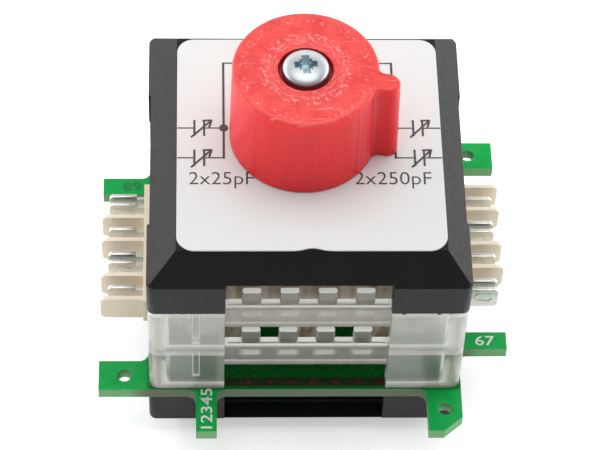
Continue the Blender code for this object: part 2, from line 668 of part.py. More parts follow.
def make_rotor(name, moving, level):
    """One gang's half-round plates and the hub that carries them, swung clear of the fixed plates."""
    inside_hub = (CORE_RADIUS + HUB_RADIUS) / 2
    outline = arc(SHAFT_AXIS, ROTOR_RADIUS, 0.0, math.pi, 20)
    outline += arc(SHAFT_AXIS, HUB_RADIUS - 0.15 * MM, math.pi, 2 * math.pi, 10)
    levels = [level + (2 * i + 1) * SHEET_STEP for i in range(moving)]
    rotor = stacked("rotor_" + name, [outline, circle(SHAFT_AXIS, inside_hub, 16)], levels, SHEET)
    top = level + 2 * moving * SHEET_STEP + SHEET + GANG_GAP - 0.05 * MM
    hub = [(HUB_RADIUS, top), (HUB_RADIUS, level), (CORE_RADIUS + 0.03 * MM, level),
           (CORE_RADIUS + 0.03 * MM, top)]
    rotor = combine(rotor, turned("hub", hub, SHAFT_AXIS, 24), 'UNION')
    painted(rotor, ALUMINIUM)


def double_d(clearance):
    """Shaft section with two flats; the flats face +Y and -Y before the knob's angle is applied."""
    radius = JOURNAL_RADIUS + clearance
    half_flats = SHAFT_FLATS / 2 + clearance
    cut = math.asin(half_flats / radius)
    ends = arc((0, 0), radius, -cut, cut, 8) + arc((0, 0), radius, math.pi - cut, math.pi + cut, 8)
    return [(SHAFT_AXIS.x + x, SHAFT_AXIS.y + y) for x, y in ends]


def make_shaft():
    stop_top = CASE_TOP + STACK_GAP - 0.06 * MM
    profile = [(0.0, SHAFT_TOP), (JOURNAL_RADIUS - 0.2 * MM, SHAFT_TOP),
               (JOURNAL_RADIUS, SHAFT_TOP - 0.2 * MM), (JOURNAL_RADIUS, stop_top - 0.4 * MM),
               (CORE_RADIUS, stop_top - 0.4 * MM),
               (CORE_RADIUS, CASE_FLOOR + CASE_FLOOR_THICKNESS + 0.1 * MM),
               (FOOT_RADIUS, CASE_FLOOR + CASE_FLOOR_THICKNESS + 0.1 * MM),
               (FOOT_RADIUS, CASE_FLOOR - 0.2 * MM), (0.0, CASE_FLOOR - 0.2 * MM)]
    shaft = turned("tuning_shaft", profile, SHAFT_AXIS)
    arm = flat_shape("arm", [sector(SHAFT_AXIS, 2.0 * MM, 4.7 * MM, math.radians(-8), math.radians(8), 4)],
                     stop_top - 0.35 * MM, stop_top)
    shaft = combine(shaft, arm, 'UNION')
    hole = cylinders("hole", [SHAFT_AXIS], 1.0 * MM, SHAFT_TOP - 4.5 * MM, SHAFT_TOP + 1.0 * MM, 20)
    shaft = combine(shaft, hole, 'DIFFERENCE')
    flats = []
    for side in (-1, 1):
        ends = sorted((SHAFT_AXIS.y + side * SHAFT_FLATS / 2, SHAFT_AXIS.y + side * 5 * MM))
        flats.append(((SHAFT_AXIS.x - 5 * MM, ends[0], FLATS_START),
                      (SHAFT_AXIS.x + 5 * MM, ends[1], SHAFT_TOP + 1 * MM)))
    painted(combine(shaft, boxes("flats", flats), 'DIFFERENCE'), BRASS)


def knob_outline():
    """A circle with a round-nosed pointer along +X, joined to it by concave fillets; centred at (0, 0)."""
    lift = POINTER_HALF_WIDTH + POINTER_FILLET
    fillet_x = math.sqrt((KNOB_RADIUS + POINTER_FILLET) ** 2 - lift ** 2)
    meet = math.atan2(lift, fillet_x)
    nose = (POINTER_REACH - POINTER_HALF_WIDTH, 0.0)
    points = arc(nose, POINTER_HALF_WIDTH, -math.pi / 2, math.pi / 2, 8)
    points += arc((fillet_x, lift), POINTER_FILLET, 1.5 * math.pi, math.pi + meet, 5)
    points += arc((0, 0), KNOB_RADIUS, meet, 2 * math.pi - meet, 52)[1:-1]
    points += arc((fillet_x, -lift), POINTER_FILLET, math.pi - meet, math.pi / 2, 5)
    return points


def make_knob():
    knob = flat_shape("knob", [knob_outline()], KNOB_BOTTOM, KNOB_TOP)
    middle = (KNOB_BOTTOM + KNOB_TOP) / 2
    spread = KNOB_FOOT_RADIUS / KNOB_RADIUS
    for vertex in knob.data.vertices:
        if vertex.co.z < middle:
            vertex.co.xy *= spread
    turn = Matrix.Translation(SHAFT_AXIS) @ Matrix.Rotation(POINTER_ANGLE, 4, 'Z')
    moved_mesh(knob, turn)
    bore = flat_shape("bore", [double_d(RUNNING_GAP)], KNOB_BOTTOM - 1.0 * MM, SHAFT_TOP + 0.05 * MM)
    knob = combine(knob, bore, 'DIFFERENCE')
    screw_hole = cylinders("screw_hole", [SHAFT_AXIS], 1.1 * MM, SHAFT_TOP - 1.0 * MM, KNOB_TOP, 20)
    knob = combine(knob, screw_hole, 'DIFFERENCE')
    recess = cylinders("recess", [SHAFT_AXIS], RECESS_RADIUS, RECESS_FLOOR, KNOB_TOP + 1.0 * MM)
    painted(combine(knob, recess, 'DIFFERENCE'), RED_PLASTIC)


def make_knob_screw():
    """Pan-head screw with a cross recess, its crown proud of the knob's top."""
    seat = RECESS_FLOOR + 0.04 * MM
    head = 1.82 * MM
    side = 0.75 * MM
    crown = 0.55 * MM
    dome = [(head * math.sin(t), seat + side + crown * math.cos(t)) for t in
            (math.pi / 2 * i / 6 for i in range(7))]
    profile = dome + [(head, seat), (0.95 * MM, seat), (0.95 * MM, seat - 4.2 * MM), (0.0, seat - 4.2 * MM)]
    profile[0] = (0.0, seat + side + crown)
    screw = turned("knob_screw", profile, SHAFT_AXIS, 32)
    for angle in (0.15, 0.15 + math.pi / 2):
        place = Matrix.Translation((SHAFT_AXIS.x, SHAFT_AXIS.y, 0.0)) @ Matrix.Rotation(angle, 4, 'Z')
        arm = boxes("arm", [((-1.0 * MM, -0.2 * MM, seat + 0.5 * MM), (1.0 * MM, 0.2 * MM, seat + 2 * MM))])
        screw = combine(screw, moved_mesh(arm, place), 'DIFFERENCE')
    painted(screw, ZINC_STEEL)


def trimmer_places():
    signs = ((1, 1), (-1, 1), (-1, -1), (1, -1))
    return [Vector((x * TRIMMER_OFFSET, y * TRIMMER_OFFSET, 0.0)) for x, y in signs]


def make_trimmers():
    """Slotted adjusting screws under the case floor, each with its half-round plate."""
    for number, place in enumerate(trimmer_places(), start=1):
        top = CASE_FLOOR + CASE_FLOOR_THICKNESS - 0.05 * MM
        profile = [(0.0, top), (0.7 * MM, top), (0.7 * MM, CASE_FLOOR - 0.55 * MM),
                   (1.3 * MM, CASE_FLOOR - 0.55 * MM), (1.3 * MM, CASE_FLOOR - 1.0 * MM),
                   (0.0, CASE_FLOOR - 1.0 * MM)]
        screw = turned("trimmer_%d" % number, profile, place, 20)
        half_plate = flat_shape("half_plate", [sector(place, 0.3 * MM, 2.3 * MM, 0.0, math.pi, 12)],
                                CASE_FLOOR - 0.35 * MM, CASE_FLOOR - 0.15 * MM)
        screw = combine(screw, half_plate, 'UNION')
        slot = boxes("slot", [((place.x - 2 * MM, place.y - 0.2 * MM, CASE_FLOOR - 2 * MM),
                               (place.x + 2 * MM, place.y + 0.2 * MM, CASE_FLOOR - 0.75 * MM))])
        painted(combine(screw, slot, 'DIFFERENCE'), BRASS)


def main():
    make_covers()
    make_spacer_frame("lower_spacer_frame", LOWER_FRAME_BASE)
    make_spacer_frame("upper_spacer_frame", UPPER_FRAME_BASE)
    make_board()
    make_connector("left", 0.0, 0.0)
    make_connector("right", math.pi, RIGHT_CONNECTOR_SHIFT)
    make_case()
    make_front_plate()
    for name, moving, level in gang_levels():
        make_stator(name, moving, level)
        make_film(name, moving, level)
        make_rotor(name, moving, level)
    make_terminals()
    make_case_screws()
    make_shaft()
    make_knob()
    make_knob_screw()
    make_trimmers()


main()
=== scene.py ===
"""Looks of the plug-together tuning capacitor module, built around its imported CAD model.

Metres, +Z up, in the frame of the CAD model. The pieces that show are rebuilt in fine detail in the place
of their CAD solids; the pieces inside the capacitor keep their CAD shape and get a finish.
"""

import random
from contextlib import contextmanager
from functools import partialmethod
from math import atan2, cos, exp, pi, radians, sin, sqrt

import bmesh
import bpy
from mathutils import Matrix, Vector


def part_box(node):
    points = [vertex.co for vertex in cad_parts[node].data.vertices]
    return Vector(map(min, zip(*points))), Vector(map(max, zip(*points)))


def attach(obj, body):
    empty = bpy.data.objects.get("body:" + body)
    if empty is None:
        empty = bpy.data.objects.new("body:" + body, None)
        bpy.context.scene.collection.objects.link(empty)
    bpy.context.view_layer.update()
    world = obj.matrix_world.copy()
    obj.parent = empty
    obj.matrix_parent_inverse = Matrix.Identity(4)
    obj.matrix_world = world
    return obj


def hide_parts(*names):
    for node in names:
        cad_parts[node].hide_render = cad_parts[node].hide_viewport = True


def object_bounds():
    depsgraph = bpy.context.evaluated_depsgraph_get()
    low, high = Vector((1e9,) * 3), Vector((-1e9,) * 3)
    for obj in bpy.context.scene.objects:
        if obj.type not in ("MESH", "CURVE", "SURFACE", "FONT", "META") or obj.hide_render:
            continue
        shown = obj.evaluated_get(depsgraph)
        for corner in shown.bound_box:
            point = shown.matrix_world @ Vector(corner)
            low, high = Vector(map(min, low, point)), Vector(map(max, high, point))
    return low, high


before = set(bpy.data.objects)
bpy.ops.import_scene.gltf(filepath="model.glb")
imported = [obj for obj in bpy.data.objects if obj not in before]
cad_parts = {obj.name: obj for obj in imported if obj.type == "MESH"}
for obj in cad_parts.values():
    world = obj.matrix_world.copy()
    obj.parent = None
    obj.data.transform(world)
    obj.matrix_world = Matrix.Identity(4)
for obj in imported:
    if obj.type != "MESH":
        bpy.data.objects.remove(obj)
CAD_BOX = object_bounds()

MM = 0.001

# Places read from the frame
COVER_LOW, COVER_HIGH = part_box("top_cover")
BOARD_LOW, BOARD_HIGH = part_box("circuit_board")
LABEL_LOW, LABEL_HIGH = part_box("cover_label")
KNOB_LOW, KNOB_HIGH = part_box("knob")
SCREW_LOW, SCREW_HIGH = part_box("knob_screw")
BUSHING_LOW, BUSHING_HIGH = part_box("shaft_bushing")
SHAFT_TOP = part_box("tuning_shaft")[1].z
AXIS = Vector(((BUSHING_LOW.x + BUSHING_HIGH.x) / 2, (BUSHING_LOW.y + BUSHING_HIGH.y) / 2, 0.0))
HALF_BODY = COVER_HIGH.x
BOARD_TOP = BOARD_HIGH.z

# Covers
TOP_WALL_HEIGHT = 3.37 * MM
BASE_WALL_HEIGHT = 3.33 * MM
FLAT_HALF = 10.75 * MM          # of the flat top, inside the slopes
FLAT_LEFT = 10.47 * MM          # where the label meets the left slope
COVER_WALL = 1.2 * MM
CEILING = 1.3 * MM
EAVE_DROP = 0.37 * MM           # of the hollow's eave below the outer one
UPRIGHT_RADIUS = 0.64 * MM
NOTCH_HALF = 6.58 * MM
NOTCH_DEPTH = 2.2 * MM
NOTCH_INTO_SLOPE = 0.2 * MM
BUSHING_CLEARANCE = 3.85 * MM
OVERCUT = 1.0 * MM              # how far a cutting block stands out of what it cuts

# Label
LABEL_TOP = LABEL_HIGH.z
LABEL_FRONT = LABEL_LOW.y
LABEL_CORNER = 1.37 * MM
LABEL_BACK_GAP = 0.06 * MM
LABEL_BEND = -FLAT_HALF + 0.05 * MM
DENT_PLACE, DENT_WIDTH, DENT_DEPTH = 0.2 * MM, 0.8 * MM, 0.23 * MM
INK_LIFT = 0.001 * MM
INK_THICKNESS = 0.012 * MM

# Spacer frames
FRAME_WALL = 1.42 * MM
FRAME_HEIGHT = 5.33 * MM
WINDOW_HALF = 6.62 * MM
RAIL_BOTTOM = 2.95 * MM         # these four above the frame's underside
LEDGE_TOP = 5.46 * MM
TOOTH_FOOT = 4.5 * MM
TOOTH_TOP = 7.04 * MM
LEDGE_HALF = 6.4 * MM
LEDGE_DEPTH = 0.6 * MM
RAIL_SETBACK = 0.37 * MM
TOOTH_WIDTH = 1.55 * MM
TOOTH_ROUNDING = 0.22 * MM
LEDGE_ROUNDING = 0.1 * MM
RIB_CENTRE = -8.91 * MM
RIB_WIDTH = 0.64 * MM
RIB_DEPTH = 0.5 * MM
RIB_LENGTH = 3.3 * MM           # of its visible edges
RIB_EXTRA = 1.2 * MM            # the rib itself is longer
RIB_EDGE = 0.04 * MM            # half its width
PITCH = 3.0 * MM                # of the contacts and of the teeth

# Circuit board
BOARD_HALF = 12.85 * MM
BOARD_REACH = BOARD_HIGH.x
NARROW_TAB = (-8.92 * MM, -7.22 * MM)
HOLE_TAB_WIDTH = 2.82 * MM
TAB_FILLET = 0.75 * MM
TAB_HOLE = (11.46 * MM, -14.79 * MM)
TAB_HOLE_RADIUS = 0.57 * MM
TAB_CHAMFER = 1.55 * MM
CHAMFER_RISE = 0.85             # of its depth over its width
LUG_CLEARANCE = 0.15 * MM
WEAVE = 2 * pi / (0.42 * MM)    # of the glass cloth, in radians per metre

# Connectors, made for the left side; heights are above the board
BODY_FACE = 13.3 * MM
BODY_BACK = 9.4 * MM
BODY_HALF = 6.05 * MM
BODY_HEIGHT = 2.94 * MM
FINGER_REACH = 16.82 * MM
FINGER_LOW, FINGER_HIGH = 0.3 * MM, 2.9 * MM
FINGER_THICKNESS = 0.36 * MM
FINGER_OFFSET = 1.2 * MM
FINGER_ROOT = 0.4 * MM
CONTACT_REACH = 16.25 * MM
CONTACT_LOW, CONTACT_HIGH = 0.45 * MM, 2.8 * MM
NECK_START, NECK_LOW, NECK_HIGH = 13.95 * MM, 0.95 * MM, 2.42 * MM
CONTACT_THICKNESS = 0.3 * MM
CONTACT_TAIL, TAIL_WIDTH = 8.3 * MM, 0.8 * MM
CONTACT_FOOT = 0.04 * MM
SLOT_CLEARANCE = 0.08 * MM
FORK_SPREAD = 0.43 * MM
BRIDGE_START, BRIDGE_END, BRIDGE_INSET = 12.4 * MM, 12.0 * MM, 0.2 * MM
BEAD_RADIUS = 0.07 * MM
BLADES = (("front", -1.5), ("rear", 0.5))
FORKS = (("front", -0.5), ("rear", 1.5))

# Knob and its screw
KNOB_RADIUS = 5.78 * MM
KNOB_FOOT_RADIUS = 5.92 * MM
POINTER_REACH = 7.5 * MM
POINTER_HALF_WIDTH = 0.8 * MM
POINTER_FILLET = 0.7 * MM
POINTER_ANGLE = radians(-12.0)
RECESS_RADIUS = 2.15 * MM
RECESS_FLOOR = 30.75 * MM
BORE_RADIUS = 3.0 * MM
SCREW_HOLE_RADIUS = 1.1 * MM
PRINT_LAYER = 0.2 * MM
PRINT_LINE = 0.42 * MM
HEAD_RADIUS = 1.82 * MM
HEAD_CROWN = 0.55 * MM
CROSS_TURN = 0.06               # radians


# Materials

class Paint:
    """A Principled material, with short ways to add procedural detail to it."""

    def __init__(self, name, colour, roughness, **sockets):
        self.material = bpy.data.materials.new(name)
        self.material.use_nodes = True
        self.tree = self.material.node_tree
        self.shader = self.tree.nodes["Principled BSDF"]
        self.set("Base Color", (*colour, 1.0))
        self.set("Roughness", roughness)
        for socket, value in sockets.items():
            self.set(socket.replace("_", " "), value)
        self.place = self.add("ShaderNodeTexCoord").outputs["Object"]

    def set(self, socket, value):
        self.feed(self.shader.inputs[socket], value)

    def feed(self, socket, value):
        if isinstance(value, bpy.types.NodeSocket):
            self.tree.links.new(value, socket)
        else:
            socket.default_value = value

    def add(self, kind, inputs=None, **settings):
        made = self.tree.nodes.new(kind)
        for name, value in settings.items():
            setattr(made, name, value)
        for name, value in (inputs or {}).items():
            self.feed(made.inputs[name], value)
        return made

    def calculate(self, operation, first, second=0.0):
        return self.add("ShaderNodeMath", {0: first, 1: second}, operation=operation).outputs[0]

    plus = partialmethod(calculate, 'ADD')
    minus = partialmethod(calculate, 'SUBTRACT')
    times = partialmethod(calculate, 'MULTIPLY')
    most = partialmethod(calculate, 'MAXIMUM')
    absolute = partialmethod(calculate, 'ABSOLUTE')
    root = partialmethod(calculate, 'SQRT')
    sine = partialmethod(calculate, 'SINE')

    def noise(self, grain, detail=2.0, stretch=None, place=None):
        """Soft random values from 0 to 1 with a grain in millimetres, squeezed along each axis."""
        place = place or self.place
        if stretch:
            place = self.add("ShaderNodeVectorMath", {0: place, 1: stretch}, operation='MULTIPLY').outputs[0]
        made = self.add("ShaderNodeTexNoise", {"Vector": place, "Scale": 1 / (grain * MM), "Detail": detail})
        return made.outputs["Fac"]

    def spread(self, value, low, high, to_low=0.0, to_high=1.0):
        """Map the range low..high to another, clamped."""
        made = self.add("ShaderNodeMapRange", {"Value": value, "From Min": low, "From Max": high,
                                               "To Min": to_low, "To Max": to_high})
        return made.outputs["Result"]

    def ramp(self, value, origin, low, high, to_low=0.0, to_high=1.0):
        """The same for a length, with the range in millimetres from an origin."""
        return self.spread(value, origin + low * MM, origin + high * MM, to_low, to_high)

    def choose(self, share, first, second):
        return self.add("ShaderNodeMix", {0: share, 2: first, 3: second}, data_type='FLOAT').outputs[0]

    def mix(self, share, *colours):
        ends = [colour if isinstance(colour, bpy.types.NodeSocket) else (*colour, 1.0) for colour in colours]
        return self.add("ShaderNodeMix", {0: share, 6: ends[0], 7: ends[1]}, data_type='RGBA').outputs[2]

    def coats(self, colour, *coats):
        """A colour under coats of others, each given as its share and its colour."""
        for share, coat in coats:
            colour = self.mix(share, colour, coat)
        return colour

    def bump(self, height, depth, strength, over=None):
        """Relief of a given depth in millimetres, laid over an earlier relief."""
        made = self.add("ShaderNodeBump", {"Height": height, "Distance": depth * MM, "Strength": strength})
        if over:
            self.feed(made.inputs["Normal"], over)
        return made.outputs["Normal"]

    def relief(self, height, depth, strength, over=None):
        self.set("Normal", self.bump(height, depth, strength, over))

    def gloss(self, value, low, high):
        """Roughness that follows a noise."""
        self.set("Roughness", self.spread(value, 0.3, 0.7, low, high))

    def dust(self, share):
        """Sparse specks."""
        return self.spread(self.noise(0.2, 0.0), 0.77, 0.82, 0.0, share)

    def axes(self, vector=None):
        split = self.add("ShaderNodeSeparateXYZ", {"Vector": vector or self.place})
        return split.outputs[0], split.outputs[1], split.outputs[2]

    def reach(self):
        """How far out of the module's middle, along X or Y, whichever is more."""
        x, y, _ = self.axes()
        return self.most(self.absolute(x), self.absolute(y))

    def around_knob(self):
        """Place measured from the knob's axis: along X, along Y and straight."""
        x, y, _ = self.axes()
        across, along = self.minus(x, AXIS.x), self.minus(y, AXIS.y)
        return across, along, self.root(self.plus(self.times(across, across), self.times(along, along)))


def mottled(name, grain, first, second, roughness, detail=2.0, contrast=None, stretch=None, relief=None,
            **sockets):
    """A colour that wanders between two tones; relief is given as grain, detail, depth and strength."""
    paint = Paint(name, first, roughness, **sockets)
    share = paint.noise(grain, detail, stretch)
    if contrast:
        share = paint.spread(share, *contrast)
    paint.set("Base Color", paint.mix(share, first, second))
    if relief:
        paint.relief(paint.noise(*relief[:2]), *relief[2:])
    return paint


def black_plastic():
    paint = mottled("black_plastic", 6, (0.0068, 0.0066, 0.0062), (0.0112, 0.0109, 0.0103), 0.42, 3.0,
                    relief=(0.11, 2.0, 0.010, 0.55), Specular_IOR_Level=0.20)
    paint.gloss(paint.noise(0.5), 0.36, 0.47)
    return paint.material


def clear_plastic(name, node, clearness, foot_height, rim_glow, edge_colour, tooth_glint_strength):
    """Frosted clear plastic: greyer on the rails, with painted pale glints under the teeth and painted shade
    along their edges; a painted glow along the corners' edges and rim, painted shade on the tooth faces, and
    painted light and glow wherever it faces up, fading towards the front of each step."""
    paint = Paint(name, (0.93, 0.95, 0.92), 0.24, IOR=1.49)
    mix, most, minus, times = paint.mix, paint.most, paint.minus, paint.times
    noise, spread, ramp = paint.noise, paint.spread, paint.ramp
    x, y, z = paint.axes()
    from_middle = paint.calculate('MINIMUM', paint.absolute(x), paint.absolute(y))
    reach = paint.reach()
    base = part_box(node)[0].z
    top = base + FRAME_HEIGHT
    inner_half = HALF_BODY - FRAME_WALL
    ledge_front = inner_half + LEDGE_DEPTH

    on_corner = ramp(from_middle, WINDOW_HALF, -0.05, 0.05)
    off_corner = minus(1.0, on_corner)
    on_tooth = ramp(z, top, 0.02, 0.06)
    tooth_top = ramp(z, base + LEDGE_TOP, 0.2, 0.4)
    # Painted glow: paler, less clear bands along the corners' rim, foot and upright edges, standing in for
    # light caught in the clear plastic's edges
    rim = minus(ramp(z, top, -0.62, -0.5), on_tooth)
    foot = spread(z, base + foot_height / 2, base + foot_height, 1.0, 0.0)
    upright_edge = ramp(from_middle, inner_half, -0.2, 0.5)
    painted_edge_glow = times(on_corner, most(most(foot, upright_edge), times(rim, rim_glow)))

    # Painted light and glow on the faces that look up
    normal = paint.add("ShaderNodeTexCoord").outputs["Normal"]
    facing_up = spread(paint.axes(normal)[2], 0.25, 0.8)
    ledge_light = ramp(reach, ledge_front, -0.45, 0.0, 1.0, 0.25)
    rail_light = ramp(reach, ledge_front, 0.04, 0.26, 0.6, 0.0)
    on_rail = ramp(reach, ledge_front, 0.0, 0.01)
    step_light = paint.choose(on_rail, ledge_light, rail_light)
    painted_top_light = times(facing_up, most(step_light, tooth_top))

    # Painted pale glints in the rails under each tooth, and painted shade along the rails' edges
    beside_tooth = paint.calculate('PINGPONG', from_middle, PITCH / 2)
    across_glint = ramp(beside_tooth, PITCH / 2, -1.05, -0.6)
    glint_height = minus(ramp(z, top, -1.2, -0.8), ramp(z, top, -0.42, -0.12))
    painted_tooth_glint = times(times(across_glint, glint_height), times(off_corner, tooth_glint_strength))
    rail_foot = ramp(z, base + RAIL_BOTTOM, 0.5, 0.65, 0.25, 0.0)
    rail_top = times(facing_up, ramp(reach, ledge_front, 0.0, 0.35, 0.0, 0.7))
    shade = times(off_corner, most(rail_foot, rail_top))

    haze = noise(2.4, 3.0)
    scuffs = noise(0.5, 3.0, stretch=(1.0, 1.0, 0.35))
    corner = mix(haze, (0.82, 0.85, 0.80), (0.97, 0.98, 0.94))
    rail = mix(haze, (0.57, 0.555, 0.485), (0.68, 0.665, 0.595))
    # Pale scuffs, then painted shade along the rails' edges and painted glints under the teeth
    side = paint.coats(mix(on_corner, rail, corner),
                       (spread(scuffs, 0.5, 0.75, 0.0, 0.5), (0.98, 0.98, 0.95)),
                       (shade, (0.1, 0.1, 0.08)), (painted_tooth_glint, (0.97, 0.96, 0.89)))
    # Painted glow colour for the corners' edges: the edge colour, turning white on the rim
    edge_glow_colour = mix(rim, edge_colour, (0.95, 0.95, 0.89))
    # Teeth: a darker grey, painted shade of the dark inside seen through them
    side = mix(on_tooth, mix(painted_edge_glow, side, edge_glow_colour), (0.50, 0.50, 0.43))
    # Painted light: the faces that look up turn white and less clear
    paint.set("Base Color", mix(painted_top_light, side, (0.97, 0.97, 0.91)))
    see_through = times(spread(painted_edge_glow, 0.0, 1.0, clearness, clearness - 0.3),
                        spread(painted_tooth_glint, 0.0, 1.0, 1.0, 0.5))
    paint.set("Transmission Weight", times(see_through, spread(painted_top_light, 0.0, 1.0, 1.0, 0.45)))
    # Painted glow on the faces that look up
    paint.set("Emission Color", (0.98, 1.0, 0.93, 1.0))
    paint.set("Emission Strength", times(painted_top_light, 0.3))
    paint.set("Roughness", spread(noise(1.6), 0.35, 0.7, 0.20, 0.27))
    paint.relief(noise(1.8), 0.010, 0.15)
    return paint.material


def solder_mask():
    """Green lacquer: darker in the middle over copper and with painted shade, lighter on the bare tabs, with
    a little dust.
    """
    paint = Paint("solder_mask", (0.01, 0.28, 0.06), 0.34, Specular_IOR_Level=0.22)
    x, y, _ = paint.axes()
    reach = paint.reach()
    bare = paint.mix(paint.noise(2.2), (0.001, 0.32, 0.05), (0.006, 0.40, 0.085))
    # The middle is darker: copper under the lacquer, and painted shade where it lies inside the module
    green = paint.mix(paint.ramp(reach, 0.0, 12.7, 13.1), (0.001, 0.15, 0.018), bare)
    dust = paint.times(paint.dust(0.5), paint.ramp(reach, 0.0, 12.5, 12.7, 1.0, 0.0))
    paint.set("Base Color", paint.mix(dust, green, (0.5, 0.52, 0.45)))
    weave = paint.times(paint.sine(paint.times(x, WEAVE)), paint.sine(paint.times(y, WEAVE)))
    paint.gloss(paint.noise(0.4), 0.24, 0.36)
    paint.relief(weave, 0.004, 0.3)
    return paint.material


def board_edge():
    """Cut edge of the board: glass layers, greener on the tabs."""
    paint = Paint("board_edge", (0.2, 0.36, 0.12), 0.55)
    layers = paint.noise(0.35, 3.0, stretch=(0.25, 0.25, 4.0))
    inner = paint.mix(layers, (0.04, 0.085, 0.035), (0.10, 0.135, 0.075))
    outer = paint.mix(layers, (0.06, 0.27, 0.07), (0.18, 0.44, 0.18))
    paint.set("Base Color", paint.mix(paint.ramp(paint.reach(), 0.0, 13.0, 14.5), inner, outer))
    paint.relief(layers, 0.02, 0.5)
    return paint.material


# The strip behind the row of plated holes: its own dark tone deepened with painted shade, with pale dust
# specks
def dark_strip():
    paint = Paint("dark_strip", (0.03, 0.02, 0.012), 0.45)
    dark = paint.mix(paint.noise(0.8), (0.003, 0.021, 0.004), (0.017, 0.023, 0.007))
    paint.set("Base Color", paint.mix(paint.dust(0.35), dark, (0.5, 0.4, 0.35)))
    return paint.material


def streaked_metal(name, dull, bright, roughness, grain, detail, stretch, cloud, gloss, relief):
    """Metal with fine marks; gloss is a low and a high roughness, relief is a depth and a strength."""
    paint = mottled(name, cloud, dull, bright, roughness, 3.0, Metallic=1.0)
    marks = paint.noise(grain, detail, stretch)
    paint.gloss(marks, *gloss)
    paint.relief(marks, *relief)
    return paint.material


def turned_metal(name, dull, bright, roughness):
    return streaked_metal(name, dull, bright, roughness, 0.08, 2.0, (0.3, 0.3, 2.0), 1.2,
                          (roughness - 0.07, roughness + 0.08), (0.005, 0.4))


def bright_zinc():
    """Smooth plated steel of the cross-head screws, bluer inside the cross recess."""
    paint = Paint("bright_zinc", (0.66, 0.70, 0.72), 0.33, Metallic=1.0)
    _, _, z = paint.axes()
    _, _, radius = paint.around_knob()
    share = paint.calculate('DIVIDE', radius, HEAD_RADIUS)
    dome = paint.root(paint.most(paint.minus(1.0, paint.times(share, share)), 0.0))
    surface = paint.plus(SCREW_HIGH.z - HEAD_CROWN, paint.times(dome, HEAD_CROWN))
    inside = paint.times(paint.ramp(paint.minus(surface, z), 0.0, 0.03, 0.09),
                         paint.ramp(radius, 0.0, 1.35, 1.45, 1.0, 0.0))
    plated = paint.mix(paint.noise(0.9), (0.40, 0.44, 0.455), (0.53, 0.565, 0.575))
    paint.set("Base Color", paint.mix(inside, plated, (0.46, 0.58, 0.63)))
    paint.gloss(paint.noise(0.4, 3.0), 0.36, 0.46)
    return paint.material


